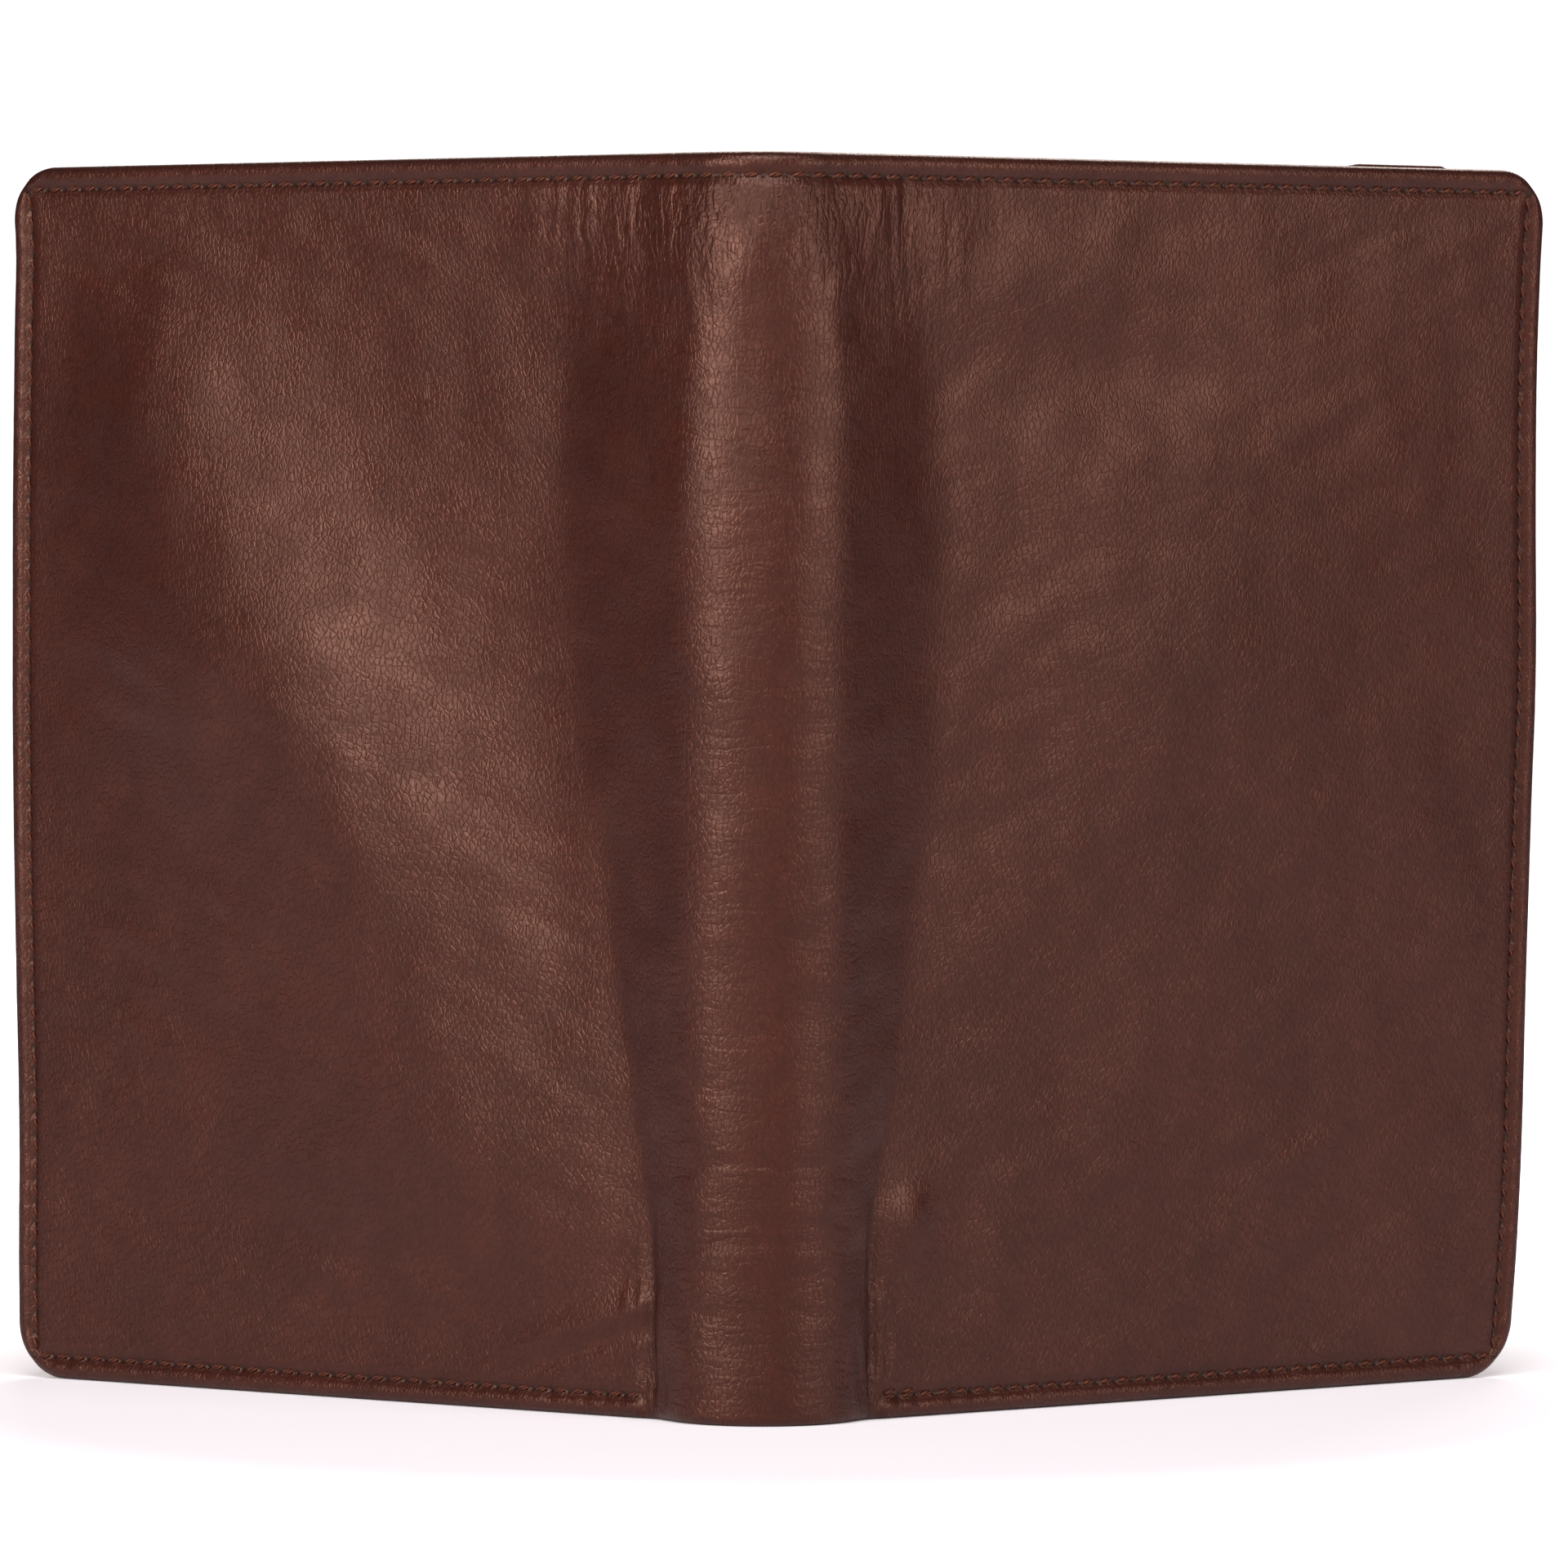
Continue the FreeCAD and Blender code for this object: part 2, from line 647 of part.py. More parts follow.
for thing in doc.Objects:
    if "Invalid" in thing.State or "Error" in thing.State:
        raise RuntimeError(f"{thing.Label}: {thing.State}")
os.makedirs("parts", exist_ok=True)
for piece in pieces:
    if piece.Shape.isNull() or not piece.Shape.isValid():
        raise RuntimeError(f"{piece.Label} has no valid shape")
for piece in pieces:
    piece.Shape.exportStep(f"parts/{piece.Label}.step")
whole = Part.makeCompound([piece.Shape for piece in pieces]).BoundBox
print(f"{len(pieces)} pieces, {whole.XLength:.2f} x {whole.YLength:.2f} x {whole.ZLength:.2f} mm")
print(f"footprint middle {whole.Center.x:.4f}, {whole.Center.y:.4f}, bottom {whole.ZMin:.4f}")
print(f"fold lines at x {value_of(f'-{HALF_SPINE} - {MIDDLE_X}'):.4f} and "
      f"{value_of(f'{HALF_SPINE} - {MIDDLE_X}'):.4f}, y {value_of(f'-{MIDDLE_Y}'):.4f}")
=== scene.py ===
import json
import math

import bpy
import mathutils
import numpy as np
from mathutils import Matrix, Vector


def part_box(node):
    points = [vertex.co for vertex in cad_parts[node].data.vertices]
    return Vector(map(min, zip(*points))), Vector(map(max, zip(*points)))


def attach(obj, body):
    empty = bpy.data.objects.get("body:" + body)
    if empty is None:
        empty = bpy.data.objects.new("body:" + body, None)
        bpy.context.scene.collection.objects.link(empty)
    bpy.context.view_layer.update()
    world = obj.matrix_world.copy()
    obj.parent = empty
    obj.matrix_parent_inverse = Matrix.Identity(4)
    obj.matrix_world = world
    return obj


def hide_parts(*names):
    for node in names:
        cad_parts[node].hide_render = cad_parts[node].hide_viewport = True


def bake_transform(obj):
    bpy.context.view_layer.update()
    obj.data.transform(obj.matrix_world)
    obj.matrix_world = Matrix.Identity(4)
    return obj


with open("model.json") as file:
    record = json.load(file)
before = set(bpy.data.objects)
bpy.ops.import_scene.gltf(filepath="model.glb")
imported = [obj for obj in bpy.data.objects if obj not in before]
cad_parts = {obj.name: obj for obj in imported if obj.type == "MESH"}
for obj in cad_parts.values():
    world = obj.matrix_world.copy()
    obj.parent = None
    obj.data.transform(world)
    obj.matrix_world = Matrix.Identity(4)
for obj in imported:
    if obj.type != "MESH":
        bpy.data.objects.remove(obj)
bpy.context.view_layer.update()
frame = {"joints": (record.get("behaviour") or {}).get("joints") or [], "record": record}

# A bifold leather passport wallet, standing open like a book with its spine towards the viewer.
# Lengths in this file are millimetres until a mesh is written, which is in metres.

MM = 0.001

JOINTS = {joint["name"]: joint for joint in frame["joints"]}
MOUNTS = {mount["name"]: mount for mount in frame["record"]["mounts"]}
FOLD = np.array(JOINTS["front_cover_fold"]["pos_m"]) / MM
COVER_AXIS = MOUNTS["front_cover_face"]["axis"]
SWING = math.atan2(COVER_AXIS[0], -COVER_AXIS[1])
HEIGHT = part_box("front_cover_leather")[1].z / MM

HIDE = 1.2  # thickness of the shell's leather
HEM = 0.7  # thinned leather, turned in at the edges
HEM_WIDTH = 9.0
LINING = 0.3
DIVIDER = 0.9
SLEEVE = 0.9
CARD_PANEL = 0.8
POCKET_CLOTH = 0.15
HIDE_FACE = HIDE / 2
BOARD_FACE = HIDE_FACE + HEM
LINING_FACE = BOARD_FACE + LINING
DIVIDER_FACE = LINING_FACE + DIVIDER
SLEEVE_FOOT = DIVIDER_FACE + LINING
CARD_FACE = DIVIDER_FACE + CARD_PANEL
PANEL_INSET = 0.8  # shell's edge to the edges of the inner panels
PANEL_RADIUS = 4.6
SEAM = 2.6  # edge to seam
PITCH = 2.6  # stitch to stitch
STITCH = 1.85  # length of thread that shows
THREAD = 0.60  # its width
PLIES = 3


def smoothstep(low, high, value):
    share = np.clip((value - low) / (high - low), 0, 1)
    return share * share * (3 - 2 * share)


def bell(value, middle, width):
    return np.exp(-(((value - middle) / width) ** 2))


def through(heights, values, z):
    """A smooth curve through a few values given at a few heights."""
    heights, values = np.array(heights, float), np.array(values, float)
    slopes = np.gradient(values, heights)
    z = np.clip(z, heights[0], heights[-1])
    span = np.clip(np.searchsorted(heights, z, side="right") - 1, 0, len(heights) - 2)
    run = heights[span + 1] - heights[span]
    t = (z - heights[span]) / run
    return (
        values[span] * (1 + 2 * t) * (1 - t) ** 2
        + run * slopes[span] * t * (1 - t) ** 2
        + values[span + 1] * t * t * (3 - 2 * t)
        + run * slopes[span + 1] * t * t * (t - 1)
    )


def grain_noise(x, y, seed):
    """Smooth random heights over a plane, about -1 to 1, the same in every run."""
    random = np.random.default_rng(seed)
    order = random.permutation(256)
    angle = random.uniform(0, 2 * math.pi, 256)
    x, y = np.broadcast_arrays(np.asarray(x, float), np.asarray(y, float))
    left, low = np.floor(x).astype(int), np.floor(y).astype(int)
    across, up = x - left, y - low
    ease_x = across**3 * (across * (across * 6 - 15) + 10)
    ease_y = up**3 * (up * (up * 6 - 15) + 10)

    def corner(i, j):
        turn = angle[order[(order[(left + i) % 256] + low + j) % 256]]
        return np.cos(turn) * (across - i) + np.sin(turn) * (up - j)

    bottom = corner(0, 0) * (1 - ease_x) + corner(1, 0) * ease_x
    top = corner(0, 1) * (1 - ease_x) + corner(1, 1) * ease_x
    return 1.5 * (bottom * (1 - ease_y) + top * ease_y)


# The run of the hide. Seen from above it is a bow over the spine, a straight flank, a reverse bend at the
# fold, and a straight cover. Low down the bow is narrow and the fold is sharp; the sewn top is a soft arch.

LEVELS = (0, 18, 42, 75, 108, 128, 142)
BOW_DEPTH = (8.2, 8.3, 9.0, 9.9, 9.7, 7.8, 5.9)
BOW_RADIUS = (11.7, 11.7, 12.2, 12.7, 12.9, 11.8, 10.8)
FOLD_RADIUS = (1.0, 1.6, 7.0, 20.0, 24.0, 26.0, 22.0)


class Side:
    """One half of the wallet: how its hide runs from the middle of the spine to the free edge."""

    def __init__(self, name, sign, reach, fold_out, swing, give):
        self.name = name
        self.body = f"{name}_cover"
        self.sign = sign
        self.reach = reach  # middle of the spine to the free edge, along the hide
        self.fold_out = fold_out  # where the fold lies at each level
        self.swing = np.array(swing) + SWING  # at the bottom and at the top
        self.give = give  # how much the hide has stretched over the cover at each level

    def bends(self, z):
        """The numbers of the plan curve at each height."""
        theta = np.interp(z, (0, HEIGHT), self.swing)
        depth = through(LEVELS, BOW_DEPTH, z)
        radius = through(LEVELS, BOW_RADIUS, z)
        out = through(LEVELS, self.fold_out, z)
        fold_radius = through(LEVELS, FOLD_RADIUS, z)
        corner_y = (out - FOLD[0]) * np.tan(theta)
        centre_y = radius - depth
        away = np.hypot(out, corner_y - centre_y)
        flank = np.arctan2(out, centre_y - corner_y) - np.arccos(radius / away)
        flank = np.maximum(flank, theta + 0.01)
        straight = np.sqrt(away**2 - radius**2)
        cut = fold_radius * np.tan((flank - theta) / 2)
        bow_end = radius * flank
        flank_end = bow_end + straight - cut
        bend_end = flank_end + fold_radius * (flank - theta)
        fold_at = bend_end - cut - (out - FOLD[0]) / np.cos(theta)
        return theta, radius, centre_y, flank, fold_radius, bow_end, flank_end, bend_end, fold_at

    def fold_at(self, z):
        """How far along the hide the fold line is."""
        return self.bends(np.asarray(z, float))[-1]

    def stretched(self, s, z):
        """Where a point of the cut hide has gone since the leather gave."""
        u = s - self.fold_at(z)
        return s + through(GIVE_LEVELS, self.give, z) * smoothstep(12, 70, u)


GIVE_LEVELS = (0, 13, 27, 46, 66, 85, 104, 123, 133, 142)
BACK = Side(
    "back",
    -1,
    106.8,
    (11.6, 12.0, 14.5, 18.5, 21.5, 20.5, 15.0),
    (-0.01, -0.01),
    (0.5, 0.7, 0.8, 1.6, 2.4, 2.7, 2.5, 1.1, 0.1, 0.0),
)
FRONT = Side(
    "front",
    1,
    109.8,
    (11.6, 11.8, 14.5, 18.0, 19.0, 18.0, 15.0),
    (0.036, -0.007),
    (0.2, 1.2, 1.9, 2.4, 3.0, 3.4, 2.7, 1.3, 0.7, 0.3),
)


def along_hide(side, s, z, depth):
    """The place of a point that lies a distance along the hide and a depth inside its middle."""
    s, z, depth = np.broadcast_arrays(*(np.asarray(v, float) for v in (s, z, depth)))
    s = side.stretched(s, z)
    theta, radius, centre_y, flank, bend, bow_end, flank_end, bend_end, _ = side.bends(z)
    on_bow, on_flank, on_bend = s <= bow_end, s <= flank_end, s <= bend_end
    turned = np.where(on_bow, s / radius, np.where(on_flank, flank, flank - (s - flank_end) / bend))
    turned = np.where(on_bend, turned, theta)
    bow_turn = np.where(on_bow, s / radius, flank)
    x = radius * np.sin(bow_turn)
    y = centre_y - radius * np.cos(bow_turn)
    run = np.clip(s, bow_end, flank_end) - bow_end
    x = x + run * np.cos(flank)
    y = y + run * np.sin(flank)
    bent = np.where(on_flank, flank, turned)
    x = x + bend * (np.sin(flank) - np.sin(bent))
    y = y + bend * (np.cos(bent) - np.cos(flank))
    rest = np.maximum(s - bend_end, 0)
    x = x + rest * np.cos(theta) - depth * np.sin(turned)
    y = y + rest * np.sin(theta) + depth * np.cos(turned)
    return np.stack([side.sign * x, y + FOLD[1], z], axis=-1)


BRIDGE_BEND = 5.0  # radius of the divider's soft bend at each fold


def along_divider(side, s, z, depth):
    """As along_hide, for the inner sheets, which cross the spine flat. s is 0 at the middle of the spine."""
    s, z, depth = np.broadcast_arrays(*(np.asarray(v, float) for v in (s, z, depth)))
    theta = side.bends(z)[0]
    level = DIVIDER_FACE - DIVIDER / 2
    corner = FOLD[0] - level * np.sin(theta) + level * np.tan(theta / 2) * np.cos(theta)
    cut = BRIDGE_BEND * np.tan(theta / 2)
    flat_end = corner - cut
    bend_end = flat_end + BRIDGE_BEND * theta
    turned = np.clip((s - flat_end) / BRIDGE_BEND, 0, theta)
    rest = np.maximum(s - bend_end, 0)
    x = np.minimum(s, flat_end) + BRIDGE_BEND * np.sin(turned) + rest * np.cos(theta)
    y = level + BRIDGE_BEND * (1 - np.cos(turned)) + rest * np.sin(theta)
    inward = depth - level
    x = x - inward * np.sin(turned)
    y = y + inward * np.cos(turned)
    return np.stack([side.sign * x, y + FOLD[1], z], axis=-1)


def divider_fold_at(side, z):
    """Where the fold line falls along the divider."""
    theta = side.bends(np.asarray(z, float))[0]
    level = DIVIDER_FACE - DIVIDER / 2
    corner = FOLD[0] - level * np.sin(theta) + level * np.tan(theta / 2) * np.cos(theta)
    bend = BRIDGE_BEND * (theta - 2 * np.tan(theta / 2))
    return corner + bend - level * np.tan(theta / 2)


# The relief of the hide: how far its face stands out at each place.


def hump(side, s, z):
    """The broad swelling of a cover between its seams."""
    u = s - side.fold_at(z)
    held = smoothstep(0, 26, HEIGHT - z) * smoothstep(0, 22, z) * smoothstep(0, 24, side.reach - s)
    if side is BACK:
        levels = (0, 15, 29, 43, 57, 71, 85, 99, 114, 128, 142)
        ridge = through(levels, (18, 20, 25, 32, 38, 45, 52, 58, 67, 70, 72), z)
        height = through(levels, (0, 0.8, 2.0, 2.4, 2.8, 3.6, 4.4, 3.4, 2.4, 1.0, 0), z)
        width = np.where(u < ridge, 18.0, 26.0)
        dent = -0.45 * bell(u, 15, np.where(u < 15, 6.0, 14.0))
        dent = dent * smoothstep(40, 85, z) * smoothstep(3, 24, HEIGHT - z)
        return height * bell(u, ridge, width) * held * smoothstep(-2, 9, u) + dent
    swell = 1.5 * bell(u, 46, 30) * bell(z, 92, 34)
    shoulder = 1.1 * bell(u, 26, 17) * bell(z, 130, 6)
    dip = -0.8 * bell(u, 32, 18) * bell(z, 117, 6)
    knuckle = 0.8 * bell(u, 5.5, 3.0) * bell(z, 22, 4.0)
    return (swell + shoulder + dip) * held * smoothstep(-2, 8, u) + knuckle


def stitches_in(length):
    """How many whole stitches a seam takes, and the length that each then has."""
    count = round(length / PITCH)
    return count, length / count


def bottom_seam_start(side):
    """Where the bottom seam stops, just outside the fold."""
    return float(side.fold_at(SEAM)) + 2.0


def seam_lines(side, s, z):
    """For each place, how far it lies outside the nearest seam, and how many stitches along that seam it is.
    The bottom seam stops at the fold."""
    _, top_pitch = stitches_in(side.reach - SEAM)
    _, free_pitch = stitches_in(HEIGHT - 2 * SEAM)
    _, bottom_pitch = stitches_in(side.reach - SEAM - bottom_seam_start(side))
    bottom = np.where(s < bottom_seam_start(side), -40.0, SEAM - z)
    offs = np.stack([z - (HEIGHT - SEAM), s - (side.reach - SEAM), bottom])
    near = np.argmax(offs, axis=0)
    off = np.take_along_axis(offs, near[None], axis=0)[0]
    counts = np.stack([s / top_pitch, (z - SEAM) / free_pitch, (side.reach - SEAM - s) / bottom_pitch])
    return off, np.take_along_axis(counts, near[None], axis=0)[0]


CORNER = 6.5  # radius of the hide's rounded corners


def from_rim(side, s, z):
    """How far inside the hide's rounded outline a place is."""
    in_s = side.reach - s
    in_z = np.minimum(HEIGHT - z, np.where(s < side.fold_at(z) + 2.0, HEIGHT, z))
    corner = CORNER - np.hypot(CORNER - in_s, CORNER - in_z)
    return np.where((in_s < CORNER) & (in_z < CORNER), corner, np.minimum(in_s, in_z))


def crowded(t, z):
    """How much the leather is gathered below the top seam, most of all over the spine."""
    below = HEIGHT - SEAM - z
    gathered = smoothstep(36, 16, np.abs(t)) * smoothstep(26, 4, below) + 0.25 * smoothstep(12, 3, below)
    return gathered * smoothstep(-0.5, 1.5, below)


def relief(side, s, z):
    """Everything that stands out of, or sinks into, the face of the hide, in mm outwards."""
    t = side.sign * s
    edge = np.minimum(np.minimum(HEIGHT - z, z), side.reach - s)
    inside = smoothstep(2.5, 9, edge)
    waves = 0.22 * grain_noise(t / 15, z / 19, 3) + 0.11 * grain_noise(t / 6.5, z / 8, 4)
    lean = 0.36 * np.tanh(t / 22)
    slant = grain_noise((z - lean * t) / 3.6, (t + lean * z) / 19, 5)
    slant = slant * (1 - 2 * grain_noise(t / 24, z / 21, 12))
    below = HEIGHT - SEAM - z
    fan = t * (1 - 0.0035 * below) + 0.9 * grain_noise(t / 9, z / 11, 6)
    gathers = 1 - 2.4 * np.abs(grain_noise(fan / 2.1, z / 15, 7))
    gathers = gathers + 0.6 * grain_noise(fan / 1.1, z / 11, 8)
    pinch = 1 - 2.4 * np.abs(grain_noise(t / 1.7 + 0.4 * grain_noise(t / 4, z / 5, 9), z / 9, 10))
    u = s - side.fold_at(z)
    folds = bell(u, 0.5, 4.0) * smoothstep(24, 8, z) * smoothstep(0.5, 2.5, z)
    gutter = -0.5 * bell(u, 0.3, 0.8) * smoothstep(32, 12, z) * smoothstep(0.5, 5, z)
    crown = 0.85 * bell(z, 131, 6) * bell(t, -3, 9) - 0.45 * bell(z, 116, 9) * bell(t, 0, 9)
    arcs = 0
    for middle, strength in ((13.0, 0.10), (20.6, 0.12), (22.8, 0.08), (29.5, 0.12), (38.0, 0.06)):
        arcs = arcs - strength * bell(z + 0.012 * t * t, middle, 0.75) * smoothstep(12, 7, np.abs(t))
    if side is BACK:
        crease = z - (12 - 0.32 * u)
        arcs = arcs + 0.32 * bell(crease, 1.4, 1.6) * smoothstep(24, 14, u) * smoothstep(-1, 3, u)
        arcs = arcs - 0.22 * bell(crease, -1.2, 1.2) * smoothstep(24, 14, u) * smoothstep(-1, 3, u)
    off, count = seam_lines(side, s, z)
    rim = from_rim(side, s, z)
    groove = -0.42 * bell(off, 0, 0.55) * smoothstep(0.6, 1.7, rim)
    bead = 0.32 * bell(rim, 1.3, 0.8) * smoothstep(-1.2, 0.3, off)
    sewn = bell(off, 0.9, 1.0) * smoothstep(0.6, 1.7, rim)
    pull = -0.055 * np.cos(2 * math.pi * count) * sewn
    bumps = 0.14 * grain_noise((t + z) / 2.7, (t - z) / 2.7, 11) * sewn
    return (
        hump(side, s, z)
        + inside * (waves + 0.055 * slant)
        + crowded(t, z) * (0.10 * gathers + 0.22 * grain_noise(fan / 5.5, z / 24, 13))
        + 0.24 * folds * pinch
        + gutter
        + crown
        + arcs
        + groove
        + bead
        + pull
        + bumps
    )


# Meshes. Every sheet is a closed slab: an outer face, an inner face, and a rounded edge between them.


def steps(start, *spans):
    """Places along a line, with a spacing of its own in each span. spans are (end, spacing)."""
    places = [start]
    for end, spacing in spans:
        count = max(1, round((end - places[-1]) / spacing))
        places.extend(np.linspace(places[-1], end, count + 1)[1:])
    return np.array(places)


def shares(width, fine, coarse, margin):
    """Columns across a sheet as shares of its width, closer together near both of its sides."""
    places = steps(0, (margin, fine), (width - margin, coarse), (width, fine))
    return places / width


class Slab:
    """A sheet laid out on a grid: columns go from its fold side to its free side, rows from bottom to top.
    radius is of its free corners. A split sheet is cut at the middle of the spine, where the other half
    goes on."""

    def __init__(
        self, name, side, columns, rows, start, end, outer, inner, radius, locate=along_hide, split=False
    ):
        self.name = name
        self.side = side
        self.columns = columns
        self.rows = rows
        self.start = start
        self.end = end
        self.outer = outer
        self.inner = inner
        self.low_radius = self.high_radius = radius
        self.locate = locate
        self.split = split
        self.lift = None  # raises points of the grid
        self.turns = 6  # faces round the rim, from one face of the sheet to the other
        self.rim = 9.0  # how far the rounded rim may stand out, however the leather swells beside it

    def grid(self):
        """Places of the grid's points, and the way out at its rim."""
        z, share = np.meshgrid(self.rows, self.columns, indexing="ij")
        s = self.start(z) + (self.end(z) - self.start(z)) * share
        way_s, way_z = np.zeros_like(s), np.zeros_like(s)
        way_z[0], way_z[-1] = -1, 1
        way_s[:, -1] = 1
        if not self.split:
            way_s[:, 0] = -1
        for up, radius in ((-1, self.low_radius), (1, self.high_radius)):
            rim = self.rows[-1] if up > 0 else self.rows[0]
            right = self.end(np.full_like(z, rim))
            p = np.clip((s - (right - radius)) / radius, 0, 1)
            q = np.clip((up * (z - rim) + radius) / radius, 0, 1)
            near = (p > 0) & (q > 0)
            round_p, round_q = p * np.sqrt(1 - q * q / 2), q * np.sqrt(1 - p * p / 2)
            rim_point = near & (np.maximum(p, q) > 0.999)
            s = np.where(near, right - radius + radius * round_p, s)
            z = np.where(near, rim + up * radius * (round_q - 1), z)
            way_s = np.where(rim_point, round_p, way_s)
            way_z = np.where(rim_point, up * round_q, way_z)
        if self.lift:
            z = z + self.lift(self.side, s, z)
        length = np.maximum(np.hypot(way_s, way_z), 1e-9)
        return s, z, way_s / length, way_z / length

    def build(self, material, extra=None):
        """The mesh object, with its places along the hide as UV in metres, and any extra point values."""
        s, z, way_s, way_z = self.grid()
        rows, columns = s.shape
        outer, inner = self.outer(self.side, s, z), self.inner(self.side, s, z)
        index = np.arange(rows * columns).reshape(rows, columns)
        parts = [(s, z, outer), (s, z, inner)]
        loop = [(0, i) for i in range(columns)]
        loop += [(j, columns - 1) for j in range(1, rows)]
        loop += [(rows - 1, i) for i in range(columns - 2, -1, -1)]
        if not self.split:
            loop += [(j, 0) for j in range(rows - 2, 0, -1)]
        at = tuple(np.array(loop).T)
        half = (inner[at] - outer[at]) / 2
        rings = [index[at]]
        count = 2 * rows * columns
        for turn in range(1, self.turns):
            angle = math.pi * turn / self.turns
            out = np.minimum(half, self.rim) * math.sin(angle)
            deep = outer[at] + half * (1 - math.cos(angle))
            parts.append((s[at] + way_s[at] * out, z[at] + way_z[at] * out, deep))
            rings.append(np.arange(count, count + len(loop)))
            count += len(loop)
        rings.append(index[at] + rows * columns)
        all_s, all_z, all_d = (np.concatenate([part[k].ravel() for part in parts]) for k in range(3))
        points = self.locate(self.side, all_s, all_z, all_d)
        corners = [index[:-1, :-1], index[:-1, 1:], index[1:, 1:], index[1:, :-1]]
        face = np.stack([corner.ravel() for corner in corners], axis=1)
        faces = [face, face[:, ::-1] + rows * columns]
        ahead = len(loop) - 1 if self.split else len(loop)
        for here, there in zip(rings, rings[1:]):
            next_here, next_there = np.roll(here, -1), np.roll(there, -1)
            quad = np.stack([next_here, here, there, next_there], axis=1)
            faces.append(quad[:ahead])
        faces = np.concatenate(faces).tolist()
        rim = np.zeros(len(points))
        rim[2 * rows * columns :] = 1
        if self.split:
            inner_first = rows * columns
            section = [ring[0] for ring in rings]
            section += [inner_first + index[j, 0] for j in range(1, rows - 1)]
            section += [ring[-1] for ring in rings[::-1]]
            section += [index[j, 0] for j in range(rows - 2, 0, -1)]
            faces.append(list(range(len(points), len(points) + len(section))))
            points, rim = np.concatenate([points, points[section]]), np.append(rim, rim[section])
            all_s, all_z = np.append(all_s, all_s[section]), np.append(all_z, all_z[section])
        mesh = bpy.data.meshes.new(self.name)
        mesh.from_pydata((points * MM).tolist(), [], faces)
        mesh.shade_smooth()
        turn_outwards(mesh)
        write_uv(mesh, np.stack([self.side.sign * all_s, all_z], axis=1) * MM)
        write_values(mesh, "rim", rim)
        for key, values in (extra(self.side, all_s, all_z) if extra else {}).items():
            write_values(mesh, key, values)
        if self.split:
            match_middle(self, mesh, columns)
        mesh.materials.append(material)
        return put(self.name, mesh)


def turn_outwards(mesh):
    """Turns the faces if the closed mesh is inside out."""
    mesh.calc_loop_triangles()
    places = np.empty(len(mesh.vertices) * 3)
    mesh.vertices.foreach_get("co", places)
    corners = np.empty(len(mesh.loop_triangles) * 3, int)
    mesh.loop_triangles.foreach_get("vertices", corners)
    a, b, c = places.reshape(-1, 3)[corners.reshape(-1, 3)].transpose(1, 0, 2)
    if np.einsum("ij,ij->i", a, np.cross(b, c)).sum() < 0:
        mesh.flip_normals()


def put(name, data):
    """A new object in the scene, at the origin."""
    obj = bpy.data.objects.new(name, data)
    bpy.context.scene.collection.objects.link(obj)
    return obj


def write_uv(mesh, places):
    layer = mesh.uv_layers.new(name="hide")
    corner = np.empty(len(mesh.loops), int)
    mesh.loops.foreach_get("vertex_index", corner)
    layer.data.foreach_set("uv", places[corner].astype(np.float32).ravel())


def write_values(mesh, key, values):
    attribute = mesh.attributes.new(key, "FLOAT", "POINT")
    attribute.data.foreach_set("value", np.asarray(values, np.float32).ravel())


def match_middle(slab, mesh, columns):
    """Gives the points at the middle of the spine the face direction that both halves share there."""
    rows = len(slab.rows)
    step = 0.3
    at_middle = np.zeros(rows)
    wanted = np.zeros((len(mesh.vertices), 3))
    for face, first, outwards in ((slab.outer, 0, -1), (slab.inner, rows * columns, 1)):
        ends = []
        for side in (BACK, FRONT):
            near = at_middle + step
            ends.append(slab.locate(side, near, slab.rows, face(side, near, slab.rows)))
        levels = []
        for z in (slab.rows - step, slab.rows + step):
            levels.append(slab.locate(FRONT, at_middle, z, face(FRONT, at_middle, z)))
        direction = np.cross(ends[1] - ends[0], levels[1] - levels[0])
        direction *= np.sign(direction[:, 1] * outwards)[:, None]
        direction /= np.linalg.norm(direction, axis=1)[:, None]
        wanted[first + np.arange(1, rows - 1) * columns] = direction[1:-1]
    mesh.normals_split_custom_set_from_vertices(wanted.tolist())


# Colours and materials.


def linear(hex_colour):
    """An sRGB hex colour as the linear colour that Blender takes."""
    parts = [int(hex_colour[i : i + 2], 16) / 255 for i in (1, 3, 5)]
    parts = [c / 12.92 if c <= 0.04045 else ((c + 0.055) / 1.055) ** 2.4 for c in parts]
    return (*parts, 1.0)


def add(tree, kind, inputs=None, **settings):
    """One node, with its settings, and its inputs given as values or as links."""
    node = tree.nodes.new(kind)
    for key, value in settings.items():
        setattr(node, key, value)
    for socket, value in (inputs or {}).items():
        if isinstance(value, bpy.types.NodeSocket):
            tree.links.new(value, node.inputs[socket])
        else:
            node.inputs[socket].default_value = value
    return node


def maths(tree, operation, *values, **settings):
    """One sum on two or three values."""
    return add(tree, "ShaderNodeMath", dict(enumerate(values)), operation=operation, **settings).outputs[0]


def ranged(tree, value, low, high, to_low=0.0, to_high=1.0):
    """The value stretched so that low gives to_low and high gives to_high, and held between those."""
    inputs = {"Value": value, "From Min": low, "From Max": high, "To Min": to_low, "To Max": to_high}
    return add(tree, "ShaderNodeMapRange", inputs).outputs[0]


def mixed(tree, share, first, second, **settings):
    """The first colour, with a share of the second laid on it."""
    inputs = {"Factor": share, 6: first, 7: second}
    return add(tree, "ShaderNodeMix", inputs, data_type="RGBA", **settings).outputs[2]


def per_mm(size):
    """The pattern scale that gives features of this size, for coordinates in metres."""
    return 1 / (size * MM)


def patches(tree, place, size, detail, output="Fac", **more):
    """Soft random patches about size mm across."""
    inputs = {"Vector": place, "Scale": per_mm(size), "Detail": detail, **more}
    return add(tree, "ShaderNodeTexNoise", inputs).outputs[output]


